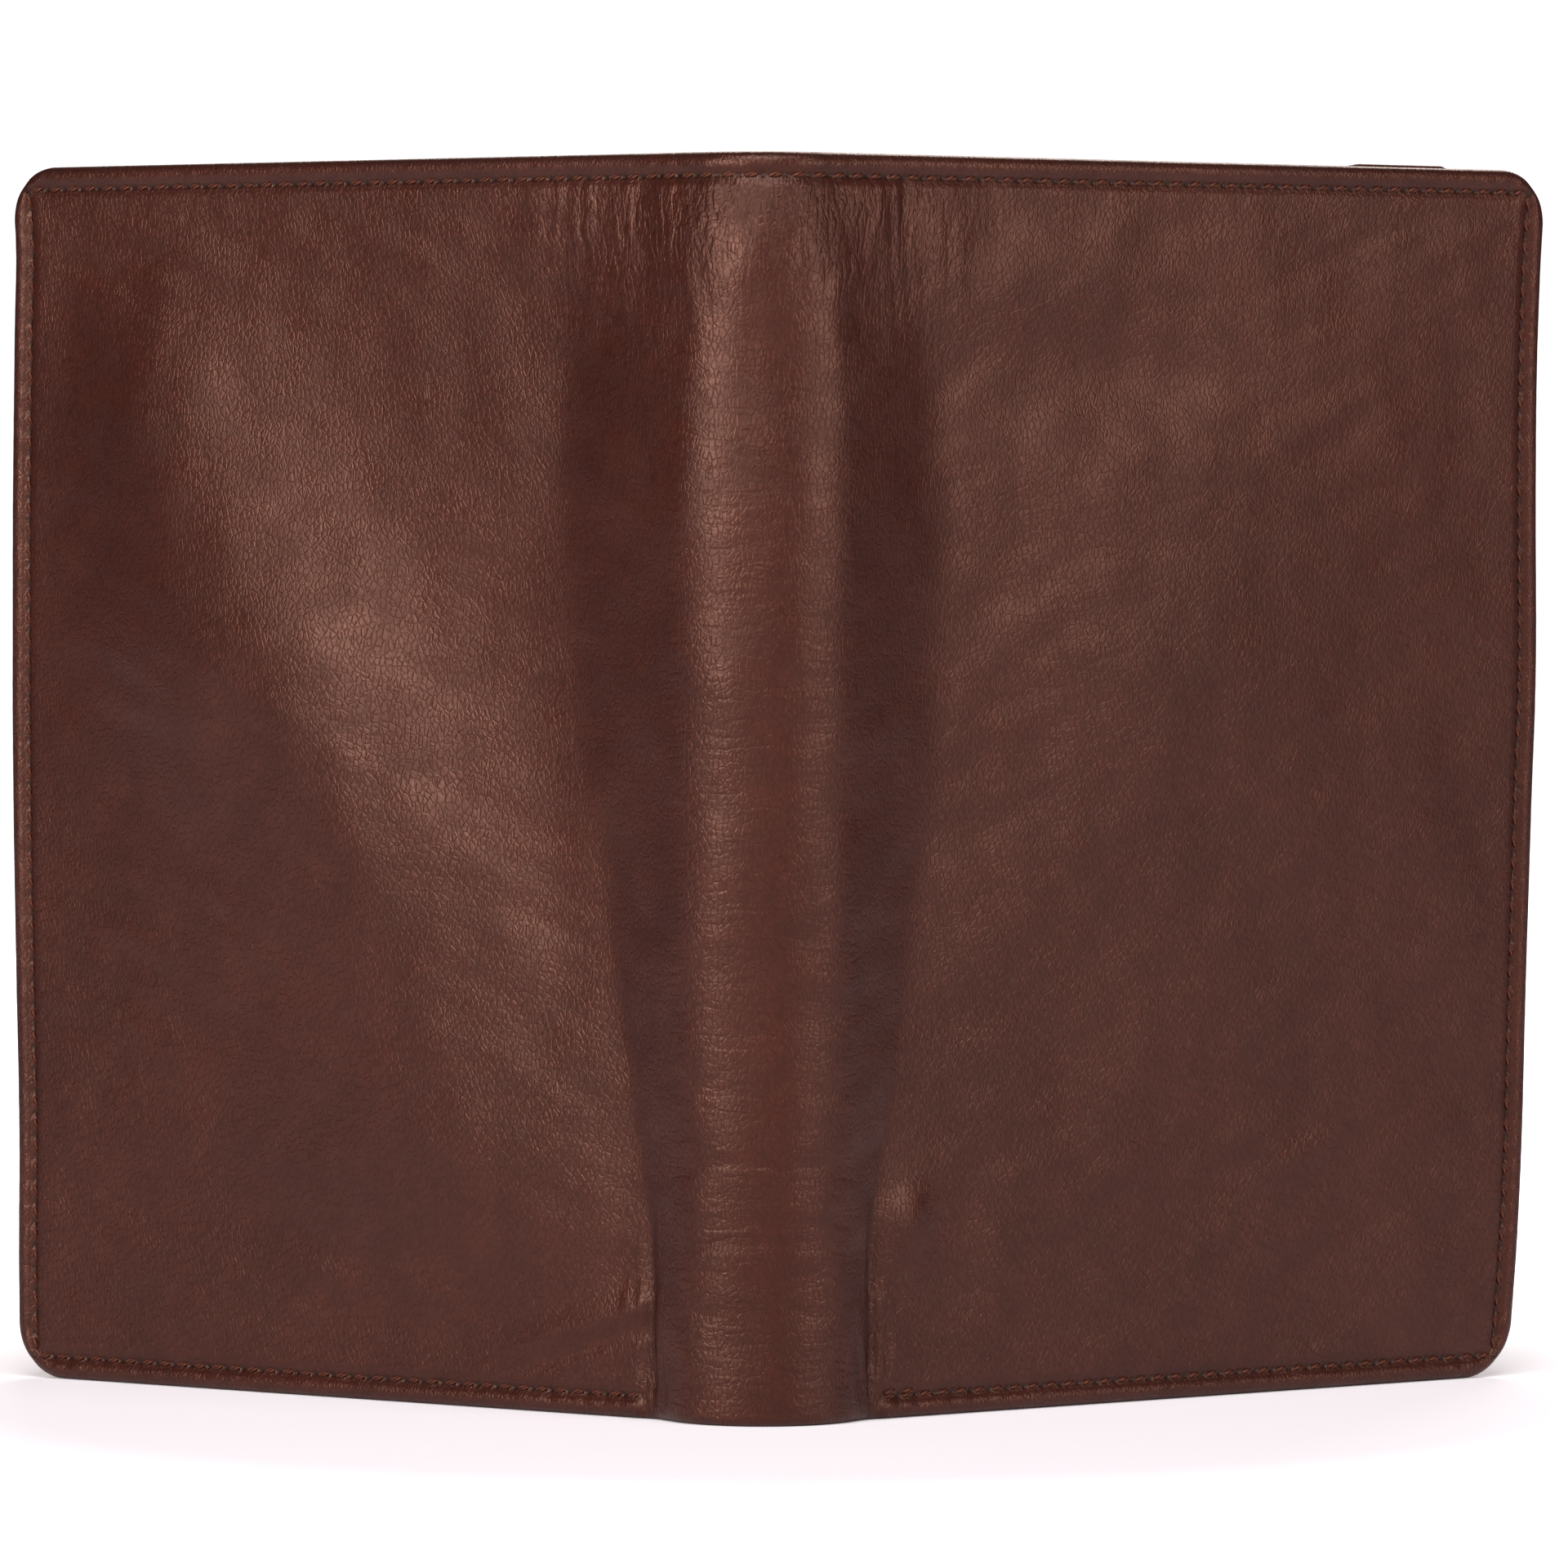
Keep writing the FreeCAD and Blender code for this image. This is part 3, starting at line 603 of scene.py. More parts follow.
def cells(tree, place, size, border, randomness):
    """Cells about size mm across: 0 on their borders, 1 inside."""
    inputs = {"Vector": place, "Scale": per_mm(size), "Randomness": randomness}
    voronoi = add(tree, "ShaderNodeTexVoronoi", inputs, feature="DISTANCE_TO_EDGE")
    return ranged(tree, voronoi.outputs["Distance"], 0.0, border)


def value_of(tree, name):
    return add(tree, "ShaderNodeAttribute", attribute_name=name).outputs["Fac"]


def new_material(name):
    material = bpy.data.materials.new(name)
    material.use_nodes = True
    material.node_tree.nodes.clear()
    return material, material.node_tree


def cut_place(tree):
    """Metres along and up the hide or cloth, as it lay flat when it was cut."""
    return add(tree, "ShaderNodeUVMap", uv_map="hide").outputs["UV"]


def finish_material(tree, colour, roughness, height, depth, strength, more=None):
    """The surface, with the height pattern raised depth mm. more is constant settings of the shader."""
    bump = add(tree, "ShaderNodeBump", {"Strength": strength, "Distance": depth * MM, "Height": height})
    surface = {"Base Color": colour, "Roughness": roughness, "Normal": bump.outputs[0], **(more or {})}
    shader = add(tree, "ShaderNodeBsdfPrincipled", surface)
    add(tree, "ShaderNodeOutputMaterial", {"Surface": shader.outputs[0]})


# Marks that a stretched or gathered hide shows: where, how the pattern is drawn out, size in mm, height.
DRAWN_LINES = (
    ("gathered", (1.0, 0.3, 1.0), 1.5, 1.5),
    ("crossed", (0.22, 1.0, 1.0), 2.3, 0.95),
)
PORE = 0.28
VEIN = 1.9
CLOUD = 4.5
PATCH = 26
EDGE_DYE = "#2A1613"
# Painted shade colour for the fold's crease.
GUTTER_SHADE = "#240A05"
# Painted shade colour for needle holes and the seam's groove.
SEAM_SHADE = "#150A08"


def leather(name, dyes, grain_size, grain_depth, gloss, sewn):
    """Drum-dyed cowhide. Pores and cells of the grain, drawn longer where the hide is pulled, give the fine
    broken glints; uneven dye gives slow changes of brown; wax rubbed up on the high places makes them
    smoother and a little lighter; cut and folded rims are darker, from the edge dye."""
    deep, mid, worn = (linear(dye) for dye in dyes)
    material, tree = new_material(name)
    place = cut_place(tree)
    wander = patches(tree, place, 5, 2.0, "Color")
    wander = add(tree, "ShaderNodeVectorMath", {0: wander, 1: (0.5, 0.5, 0.5)}, operation="SUBTRACT")
    shift = {0: wander.outputs[0], 1: (1.1 * MM, 1.1 * MM, 0.0), 2: place}
    shifted = add(tree, "ShaderNodeVectorMath", shift, operation="MULTIPLY_ADD").outputs[0]
    pulled = add(tree, "ShaderNodeMapping", {"Vector": shifted, "Scale": (1.0, 0.62, 1.0)}).outputs[0]
    cell = cells(tree, pulled, grain_size, 0.16, 0.95)
    crease = cells(tree, shifted, VEIN, 0.07, 1.0)
    patch = patches(tree, place, PATCH, 3.0)
    cloud = patches(tree, place, CLOUD, 4.0)
    pores = maths(tree, "MULTIPLY", patches(tree, pulled, PORE, 3.0), 0.9)
    grain = maths(tree, "MULTIPLY_ADD", cell, 0.7, pores)
    height = maths(tree, "MULTIPLY_ADD", crease, 0.22, grain)
    for mark, drawn_out, size, strength in DRAWN_LINES:
        drawn = add(tree, "ShaderNodeMapping", {"Vector": shifted, "Scale": drawn_out}).outputs[0]
        lines = maths(tree, "SUBTRACT", patches(tree, drawn, size, 2.5, Roughness=0.55), 0.5)
        ridge = ranged(tree, maths(tree, "ABSOLUTE", lines), 0.0, 0.10)
        share = maths(tree, "MULTIPLY", value_of(tree, mark), strength)
        height = maths(tree, "MULTIPLY_ADD", ridge, share, height)
    colour = mixed(tree, ranged(tree, patch, 0.36, 0.64), deep, mid)
    rubbed = maths(tree, "MULTIPLY", ranged(tree, cloud, 0.42, 0.72), 0.30)
    colour = mixed(tree, rubbed, colour, worn)
    colour = mixed(tree, 1.0, colour, ranged(tree, grain, 0.35, 1.25, 0.66, 1.10), blend_type="MULTIPLY")
    colour = mixed(tree, 1.0, colour, ranged(tree, crease, 0.0, 1.0, 0.90), blend_type="MULTIPLY")
    # Painted shade: the fold's crease is darkened where the gutter value is high.
    colour = mixed(tree, maths(tree, "MULTIPLY", value_of(tree, "gutter"), 0.72), colour, linear(GUTTER_SHADE))
    colour = mixed(tree, maths(tree, "MULTIPLY", value_of(tree, "rim"), 0.35), colour, linear(EDGE_DYE))
    if sewn:
        colour, hole = needle_holes(tree, colour)
        height = maths(tree, "MULTIPLY_ADD", hole, -2.2, height)
    roughness = ranged(tree, cloud, 0.3, 0.7, gloss[1], gloss[0])
    more = {"IOR": 1.54, "Specular Tint": linear("#F2C0AE")}
    finish_material(tree, colour, roughness, height, grain_depth, 1.0, more)
    return material


def needle_holes(tree, colour):
    """Small dips where the needle went through, between one stitch and the next; painted shade darkens them
    and the seam's groove.
    """
    beside = ranged(tree, maths(tree, "ABSOLUTE", value_of(tree, "seam_off")), 0.45, 0.12)
    phase = maths(tree, "PINGPONG", value_of(tree, "stitch_count"), 1.0)
    phase = maths(tree, "ABSOLUTE", maths(tree, "SUBTRACT", phase, 0.5))
    hole = maths(tree, "MULTIPLY", beside, ranged(tree, phase, 0.30, 0.46))
    # Painted shade: the holes and the whole groove along the seam are darkened.
    dark = maths(tree, "MULTIPLY_ADD", hole, 0.28, maths(tree, "MULTIPLY", beside, 0.7))
    return mixed(tree, dark, colour, linear(SEAM_SHADE)), hole


def lining_cloth():
    """Brown twill: fine slanting ribs of warp over weft, with slightly uneven yarns and a soft dry face."""
    material, tree = new_material("woven_twill_lining")
    place = cut_place(tree)
    slanting = {"Vector": place, "Rotation": (0, 0, math.radians(32))}
    slanting = add(tree, "ShaderNodeMapping", slanting).outputs[0]
    turn = 2 * math.pi
    ribs = {"Vector": slanting, "Scale": per_mm(0.55) / turn, "Distortion": 0.35, "Detail": 1.0}
    ribs = add(tree, "ShaderNodeTexWave", ribs).outputs["Fac"]
    yarns = {"Vector": place, "Scale": per_mm(0.3) / turn, "Distortion": 0.5}
    yarns = add(tree, "ShaderNodeTexWave", yarns, bands_direction="Y").outputs["Fac"]
    weave = maths(tree, "MULTIPLY_ADD", yarns, 0.4, ribs)
    tone = maths(tree, "MULTIPLY", weave, patches(tree, place, 1.8, 3.0))
    colour = mixed(tree, tone, linear("#1E1512"), linear("#4A3830"))
    finish_material(tree, colour, 0.88, weave, 0.12, 0.9, {"Sheen Weight": 0.25})
    return material


def pressed_board():
    """Grey-brown leather-fibre board: ground offcuts pressed with latex, so short pale fibres lie every way
    in a dull darker mass."""
    material, tree = new_material("pressed_leather_fibre_board")
    place = cut_place(tree)
    fibres = patches(tree, place, 0.9, 6.0, Distortion=2.5)
    tone = maths(tree, "MULTIPLY_ADD", patches(tree, place, 9, 2.0), 0.4, ranged(tree, fibres, 0.35, 0.66))
    colour = mixed(tree, tone, linear("#5E4A3C"), linear("#8C7762"))
    finish_material(tree, colour, 0.82, fibres, 0.08, 0.7)
    return material


def sewing_thread():
    """Bonded polyester, three plies laid together: a slanting groove between plies, painted darker as painted
    shade, crowns painted lighter as painted highlight, and painted shade where it dives into the needle
    holes."""
    material, tree = new_material("bonded_polyester_thread")
    place = add(tree, "ShaderNodeTexCoord").outputs["Object"]
    lobes = maths(tree, "SINE", maths(tree, "MULTIPLY", value_of(tree, "ply"), PLIES * 2 * math.pi))
    lobes = ranged(tree, lobes, -1.0, 0.5)
    # Painted shade in the grooves between plies and painted highlight on their crowns.
    tone = maths(tree, "MULTIPLY", lobes, patches(tree, place, 0.25, 2.0))
    tone = maths(tree, "MULTIPLY", tone, 1.7, use_clamp=True)
    colour = mixed(tree, tone, linear("#200D09"), linear("#582F24"))
    # Painted shade at both ends, where the thread dives into the holes.
    sunk_shade = ranged(tree, value_of(tree, "reach"), 0.72, 1.0)
    colour = mixed(tree, sunk_shade, colour, linear("#160B09"))
    finish_material(tree, colour, 0.5, lobes, 0.08, 0.8, {"Specular Tint": linear("#E8B09C")})
    return material


OUTER_LEATHER = leather(
    "waxed_full_grain_cowhide", ("#2F110D", "#371712", "#4B261C"), 0.60, 0.030, (0.30, 0.43), True
)
INNER_LEATHER = leather(
    "smooth_inner_cowhide", ("#371610", "#3F1C15", "#522820"), 0.42, 0.02, (0.40, 0.50), False
)
LINING_CLOTH = lining_cloth()
BOARD = pressed_board()
THREAD_STUFF = sewing_thread()


# The hide, folded over at its edges. It is one piece of leather; the two halves meet at the middle of the
# spine.


def hide_outside(side, s, z):
    return -HIDE_FACE - relief(side, s, z)


def hide_inside(side, s, z):
    """The flesh side, a step higher where the thinned edge is turned in and glued down."""
    edge = np.minimum(np.minimum(HEIGHT - z, z), side.reach - s)
    return HIDE_FACE + HEM * smoothstep(HEM_WIDTH + 0.3, HEM_WIDTH - 0.3, edge)


def hide_marks(side, s, z):
    off, count = seam_lines(side, s, z)
    t = np.abs(s)
    crossing = smoothstep(14, 9, t) * smoothstep(130, 112, z)
    crossing = crossing + 0.45 * smoothstep(12, 26, t) * smoothstep(88, 60, t) * smoothstep(130, 105, z)
    u = s - side.fold_at(z)
    cracked = crowded(t, z) + 0.9 * bell(u, 0.8, 3.5) * smoothstep(26, 8, z)
    # Where painted shade is laid in the fold's crease, strongest low down.
    gutter = bell(u, 0.4, 0.8) * smoothstep(34, 14, z) + 0.2 * bell(u, 1.0, 3.5) * smoothstep(60, 20, z)
    return {
        "seam_off": off,
        "stitch_count": count,
        "gathered": cracked,
        "crossed": crossing,
        "gutter": np.clip(gutter, 0, 1),
    }


def bends_with(obj, side, *nodes):
    """Hides the parts it stands in for and bakes its placement into its mesh."""
    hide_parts(*nodes)
    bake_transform(obj)
    return obj


def rides_on(obj, body, slot, *nodes):
    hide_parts(*nodes)
    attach(obj, body)
    return obj


ROLL = (HIDE + HEM) / 2  # radius of the folded edge
FREE_START = 7.6  # fold line to the start of the sheets that are stiff with the cover


def make_hide(side):
    rows = steps(ROLL, (9, 0.5), (36, 0.62), (108, 0.95), (HEIGHT - ROLL, 0.48))
    end = side.reach - ROLL
    columns = steps(0, (34, 0.58), (end - 9, 0.95), (end, 0.5)) / end
    slab = Slab(
        f"hide_{side.name}",
        side,
        columns,
        rows,
        lambda z: 0 * z,
        lambda z: 0 * z + end,
        hide_outside,
        hide_inside,
        CORNER - ROLL,
        split=True,
    )
    slab.rim = ROLL
    slab.turns = 8
    hide = slab.build(OUTER_LEATHER, hide_marks)
    return bends_with(hide, side, f"{side.body}_leather", "spine_leather")


def flat(level):
    return lambda side, s, z: level + 0 * s


def free_edge(side, z, inset, locate=along_hide):
    """How far along the sheet that locate follows a line runs, a little inside the cover's free edge."""
    if locate is along_divider:
        return side.stretched(side.reach - inset, z) - side.fold_at(z) + divider_fold_at(side, z)
    return 0 * z + side.reach - inset


def cover_sheet(name, side, start, inset, low, high, material, radius=None, lift=None):
    """A sheet on a cover: start is from the fold line, inset from the cover's edges, low and high are its
    faces."""
    somewhere = np.array([HEIGHT / 2])
    half = float((high(side, somewhere, somewhere) - low(side, somewhere, somewhere))[0]) / 2
    rows = steps(inset + half, (inset + 7, 0.7), (HEIGHT - inset - 7, 1.6), (HEIGHT - inset - half, 0.7))
    slab = Slab(
        name,
        side,
        shares(90.0, 0.6, 1.8, 7.0),
        rows,
        lambda z: side.fold_at(z) + start + half,
        lambda z: free_edge(side, z, inset + half),
        low,
        high,
        radius or max(1.0, 6.0 - inset - half),
    )
    slab.lift = lift
    return slab.build(material)


BOARD_INSET = HEM_WIDTH + 0.6  # clear of the turned edge
LINING_INSET = 1.2


def make_board(side):
    low, high = flat(HIDE_FACE + 0.03), flat(BOARD_FACE - 0.02)
    board = cover_sheet(
        f"{side.name}_board", side, FREE_START, BOARD_INSET, low, high, BOARD, radius=1.0
    )
    return rides_on(board, side.body, "stiffening_board", f"{side.body}_board")


def make_lining(side):
    low, high = flat(BOARD_FACE + 0.01), flat(LINING_FACE - 0.01)
    lining = cover_sheet(
        f"{side.name}_lining", side, FREE_START, LINING_INSET, low, high, LINING_CLOTH
    )
    rides_on(lining, side.body, "lining_cloth", f"{side.body}_lining")
    return lining


def make_spine_lining():
    """Within the bow only, so the folds stay supple."""
    reach = 9.6
    slab = Slab(
        "lining_spine",
        FRONT,
        steps(0, (1, 0.04)),
        steps(9.3, (132.7, 1.5)),
        lambda z: 0 * z - reach,
        lambda z: 0 * z + reach,
        flat(HIDE_FACE + 0.03),
        flat(HIDE_FACE + LINING),
        0.6,
    )
    lining = slab.build(LINING_CLOTH)
    rides_on(lining, "spine", "lining_cloth", "spine_lining")


def make_divider(side):
    """One half of the long inner sheet that crosses the spine flat, and holds both covers' pockets."""
    half = DIVIDER / 2
    rows = steps(PANEL_INSET + half, (8, 0.8), (HEIGHT - 8, 1.8), (HEIGHT - PANEL_INSET - half, 0.8))
    slab = Slab(
        f"divider_{side.name}",
        side,
        steps(0, (24, 0.7), (100, 1.6), (106, 0.8)) / 106,
        rows,
        lambda z: 0 * z,
        lambda z: free_edge(side, z, PANEL_INSET + half, along_divider),
        flat(LINING_FACE + 0.01),
        flat(DIVIDER_FACE - 0.01),
        PANEL_RADIUS,
        along_divider,
        split=True,
    )
    divider = slab.build(INNER_LEATHER)
    return bends_with(divider, side, f"{side.name}_divider", "spine_divider")


SLEEVE_START = 15.0  # fold line to the mouth of the passport sleeve
SLEEVE_LINING_START = 27.0
SLEEVE_HEM = 6.0
NOTCH_RADIUS = 17.0
NOTCH_DEPTH = 9.0


def make_sleeve_lining():
    lining = cover_sheet(
        "sleeve_cloth",
        BACK,
        SLEEVE_LINING_START,
        PANEL_INSET + SLEEVE_HEM,
        flat(DIVIDER_FACE + 0.01),
        flat(SLEEVE_FOOT - 0.02),
        LINING_CLOTH,
        radius=1.0,
    )
    rides_on(lining, "back_cover", "lining_cloth", "passport_sleeve_lining")


def sleeve_opening(z):
    """The open side of the passport sleeve, with its thumb notch."""
    rise = np.clip(NOTCH_RADIUS**2 - (z - HEIGHT / 2) ** 2, 0, None)
    notch = SLEEVE_START + NOTCH_DEPTH - NOTCH_RADIUS + np.sqrt(rise)
    return np.logaddexp(notch * 2.2, SLEEVE_START * 2.2) / 2.2 - 0.05


def sleeve_face(side, s, z):
    """Swells a little between its sewn sides, with a creased line along the open one."""
    u = s - side.fold_at(z)
    edge = np.minimum(np.minimum(HEIGHT - z, z), side.reach - s)
    away = u - sleeve_opening(z)
    crease = -0.13 * bell(away, 2.4, 0.34) + 0.07 * bell(away, 1.3, 0.7)
    return SLEEVE_FOOT + SLEEVE + 0.35 * smoothstep(2, 20, edge) + crease * smoothstep(0.5, 4, edge)


def make_sleeve():
    half = SLEEVE / 2
    top = HEIGHT - PANEL_INSET - half
    rows = steps(PANEL_INSET + half, (8, 0.8), (52, 1.5), (90, 0.7), (HEIGHT - 8, 1.5), (top, 0.8))
    slab = Slab(
        "sleeve_leather",
        BACK,
        shares(76.0, 0.42, 1.6, 8.0),
        rows,
        lambda z: BACK.fold_at(z) + sleeve_opening(z) + half,
        lambda z: free_edge(BACK, z, PANEL_INSET + half),
        lambda side, s, z: sleeve_face(side, s, z) - SLEEVE,
        sleeve_face,
        PANEL_RADIUS,
    )
    sleeve = slab.build(INNER_LEATHER)
    rides_on(sleeve, "back_cover", "inner_leather", "passport_sleeve")


def panel_rise(side, s, z):
    """The card panel is cut a touch too tall near its free corner, where a sliver stands above the shell."""
    t = side.reach - s
    sliver = smoothstep(30.0, 26.0, t) * smoothstep(10.5, 12.5, t)
    return 1.2 * sliver * smoothstep(HEIGHT - 9, HEIGHT - 1, z)


def make_card_panel():
    panel = cover_sheet(
        "panel_leather",
        FRONT,
        FREE_START,
        PANEL_INSET,
        flat(DIVIDER_FACE + 0.01),
        flat(CARD_FACE),
        INNER_LEATHER,
        lift=panel_rise,
    )
    rides_on(panel, "front_cover", "inner_leather", "card_panel")


MOUTHS = (98.0, 84.0, 70.0, 56.0)  # heights of the pockets' mouths
POCKET_LENGTH = 23.0
POCKET_FOOT = CARD_FACE + 3 * POCKET_CLOTH
POCKET_LEATHER = 0.7
POCKET_LEAN = 1.64  # how far a mouth stands out past its pocket's foot
POCKET_LINING_TOP = 20  # below the mouth
POCKET_LINING_FOOT = 50


def pocket_back(mouth):
    def face(side, s, z):
        return POCKET_FOOT + POCKET_LEAN * np.clip((z - mouth + POCKET_LENGTH) / POCKET_LENGTH, 0, 1)

    return face


def pocket_front(mouth):
    """Its mouth is turned, with a line creased under it by a warm iron."""

    def face(side, s, z):
        under = mouth - z
        turned = 0.09 * bell(under, 1.0, 0.8) - 0.14 * bell(under, 2.4, 0.32)
        waves = 0.10 * grain_noise(s / 13, z / 17, 21)
        waves = waves * smoothstep(1, 8, side.reach - s)
        return pocket_back(mouth)(side, s, z) + POCKET_LEATHER + turned + waves

    return face


def make_pocket(number, mouth):
    half = POCKET_LEATHER / 2
    last = mouth == MOUTHS[-1]
    foot = PANEL_INSET if last else mouth - POCKET_LENGTH
    rows = steps(foot + half, (foot + 3, 0.6), (mouth - 5, 1.6), (mouth - half, 0.28))
    slab = Slab(
        f"pocket_leather_{number}",
        FRONT,
        shares(86.0, 0.6, 1.8, 6.0),
        rows,
        lambda z: FRONT.fold_at(z) + FREE_START + half,
        lambda z: free_edge(FRONT, z, PANEL_INSET + half),
        pocket_back(mouth),
        pocket_front(mouth),
        0.8,
    )
    if last:
        slab.low_radius = 4.8
    pocket = slab.build(INNER_LEATHER)
    rides_on(pocket, "front_cover", "inner_leather", f"card_pocket_{number}")


def make_pocket_lining(number, mouth):
    """Thin cloth on the panel behind the pockets, which a card slides down on."""
    low = CARD_FACE + POCKET_CLOTH * (3 - number) + 0.01
    rows = steps(mouth - POCKET_LINING_FOOT, (mouth - POCKET_LINING_TOP, 1.5))
    slab = Slab(
        f"pocket_cloth_{number}",
        FRONT,
        steps(0, (1, 0.02)),
        rows,
        lambda z: FRONT.fold_at(z) + 10.0,
        lambda z: free_edge(FRONT, z, 3.6),
        flat(low),
        flat(low + POCKET_CLOTH - 0.02),
        0.8,
    )
    lining = slab.build(LINING_CLOTH)
    rides_on(lining, "front_cover", "lining_cloth", f"card_pocket_lining_{number}")


# Stitches. Each is one short length of three-ply thread lying in the seam's groove and diving at both ends.


def stitch_shape():
    """One stitch, 1 mm long along X and standing up along Z, with where each point is along and around it."""
    around, along = 9, 7
    points, ply, reach = [], [], []
    for i in range(along):
        share = 2 * i / (along - 1) - 1
        height = 0.12 - 0.40 * abs(share) ** 3.0
        thick = 0.5 * (1 - 0.45 * abs(share) ** 4)
        for j in range(around):
            turn = 2 * math.pi * j / around
            lobe = 1 + 0.10 * math.cos(3 * turn + 4.4 * share)
            y = thick * lobe * math.cos(turn)
            up = thick * lobe * math.sin(turn) * 0.86
            points.append((share * STITCH / 2, y * THREAD, height + up * THREAD))
            ply.append(j / around + 0.23 * share)
            reach.append(abs(share))
    faces = []
    for i in range(along - 1):
        for j in range(around):
            next_j = (j + 1) % around
            row, ahead = i * around, (i + 1) * around
            faces.append((row + j, row + next_j, ahead + next_j, ahead + j))
    faces.append(tuple(range(around))[::-1])
    faces.append(tuple(range((along - 1) * around, along * around)))
    mesh = bpy.data.meshes.new("one_stitch")
    mesh.from_pydata([tuple(c * MM for c in p) for p in points], [], faces)
    mesh.shade_smooth()
    turn_outwards(mesh)
    write_values(mesh, "ply", ply)
    write_values(mesh, "reach", reach)
    return put("one_stitch", mesh)


def sewing_nodes():
    """Lays one stitch at every point, along its run and standing on the leather's face."""
    tree = bpy.data.node_groups.new("lay_stitches", "GeometryNodeTree")
    inputs = {
        "Needle points": "Geometry",
        "Stitch": "Object",
        "Thread": "Material",
        "Seed": "Int",
        "Unevenness": "Float",
    }
    for name, kind in inputs.items():
        tree.interface.new_socket(name, in_out="INPUT", socket_type=f"NodeSocket{kind}")
    tree.interface.new_socket("Stitches", in_out="OUTPUT", socket_type="NodeSocketGeometry")
    given = add(tree, "NodeGroupInput")
    outwards = add(tree, "GeometryNodeInputNamedAttribute", {"Name": "outwards"}, data_type="FLOAT_VECTOR")
    way = add(tree, "GeometryNodeInputNamedAttribute", {"Name": "way"}, data_type="FLOAT_VECTOR")
    upright = add(tree, "FunctionNodeAlignRotationToVector", {"Vector": outwards.outputs[0]}, axis="Z")
    aligned = add(
        tree,
        "FunctionNodeAlignRotationToVector",
        {"Rotation": upright.outputs[0], "Vector": way.outputs[0]},
        axis="X",
        pivot_axis="Z",
    )
    smallest = maths(tree, "SUBTRACT", 1.0, given.outputs["Unevenness"])
    between = {2: smallest, 3: 1.04, "Seed": given.outputs["Seed"]}
    uneven = add(tree, "FunctionNodeRandomValue", between, data_type="FLOAT")
    length = add(tree, "ShaderNodeCombineXYZ", {"X": uneven.outputs[1], "Y": 1.0, "Z": 1.0})
    between = {2: 0.10, 3: 0.22, "Seed": given.outputs["Seed"]}
    lean = add(tree, "FunctionNodeRandomValue", between, data_type="FLOAT")
    slant = add(tree, "ShaderNodeCombineXYZ", {"Z": lean.outputs[1]})
    slanted = add(
        tree,
        "FunctionNodeRotateRotation",
        {"Rotation": aligned.outputs[0], "Rotate By": slant.outputs[0]},
        rotation_space="LOCAL",
    )
    shape = add(tree, "GeometryNodeObjectInfo", {"Object": given.outputs["Stitch"]})
    laid = add(
        tree,
        "GeometryNodeInstanceOnPoints",
        {
            "Points": given.outputs["Needle points"],
            "Instance": shape.outputs["Geometry"],
            "Rotation": slanted.outputs[0],
            "Scale": length.outputs[0],
        },
    )
    real = add(tree, "GeometryNodeRealizeInstances", {"Geometry": laid.outputs[0]})
    dressed = add(
        tree, "GeometryNodeSetMaterial", {"Geometry": real.outputs[0], "Material": given.outputs["Thread"]}
    )
    add(tree, "NodeGroupOutput", {"Stitches": dressed.outputs[0]})
    return tree


def run_of(start, end, count):
    """The two ends of each stitch along a straight seam, as shares from start to end."""
    cuts = np.linspace(0, 1, count + 1)
    start, end = np.array(start, float), np.array(end, float)
    here = start + (end - start) * cuts[:-1, None]
    there = start + (end - start) * cuts[1:, None]
    return here, there


def stitch_places(side, runs, depth, locate, outwards):
    """Middle, way and face direction of every stitch. depth is where the leather's face is."""
    here, there = (np.concatenate([run[k] for run in runs]) for k in (0, 1))
    ends = []
    for point in (here * 0.85 + there * 0.15, here * 0.15 + there * 0.85):
        ends.append(locate(side, point[:, 0], point[:, 1], depth(side, point[:, 0], point[:, 1])))
    middle = (here + there) / 2
    deep = depth(side, middle[:, 0], middle[:, 1])
    centre = locate(side, middle[:, 0], middle[:, 1], deep)
    lifted = locate(side, middle[:, 0], middle[:, 1], deep + 0.2 * outwards)
    up = (lifted - centre) / 0.2
    way = ends[1] - ends[0]
    return centre, way / np.linalg.norm(way, axis=1)[:, None], up


def sew(name, places, seed):
    """The stitches of one or more seams as one plain mesh."""
    centre, way, up = (np.concatenate([place[k] for place in places]) for k in range(3))
    mesh = bpy.data.meshes.new(name)
    mesh.from_pydata((centre * MM).tolist(), [], [])
    for key, values in (("way", way), ("outwards", up)):
        attribute = mesh.attributes.new(key, "FLOAT_VECTOR", "POINT")
        attribute.data.foreach_set("vector", values.astype(np.float32).ravel())
    obj = put(name, mesh)
    modifier = obj.modifiers.new("lay_stitches", "NODES")
    modifier.node_group = SEWING
    wanted = {"Stitch": ONE_STITCH, "Thread": THREAD_STUFF, "Seed": seed, "Unevenness": 0.06}
    for item in SEWING.interface.items_tree:
        if item.in_out == "INPUT" and item.name in wanted:
            modifier[item.identifier] = wanted[item.name]
    bpy.context.view_layer.update()
    evaluated = obj.evaluated_get(bpy.context.evaluated_depsgraph_get())
    sewn = bpy.data.meshes.new_from_object(evaluated)
    sewn.name = name
    bpy.data.objects.remove(obj)
    return put(name, sewn)


def inner_face(side, s, z):
    """How deep the innermost leather's face is, where the seams come through."""
    u = s - side.fold_at(z)
    face = np.full_like(u, DIVIDER_FACE)
    if side is BACK:
        return np.where(u > SLEEVE_START, sleeve_face(side, s, z), face)
    face = np.where(u > FREE_START, CARD_FACE, face)
    for mouth in MOUTHS[::-1]:
        foot = PANEL_INSET if mouth == MOUTHS[-1] else mouth - POCKET_LENGTH
        there = (u > FREE_START) & (z < mouth) & (z > foot) & (face < POCKET_FOOT + 0.3)
        face = np.where(there, pocket_front(mouth)(side, s, z), face)
    return face


def hide_to_divider(side, s, z):
    """The same place counted along the divider."""
    return s - side.fold_at(z) + divider_fold_at(side, z)


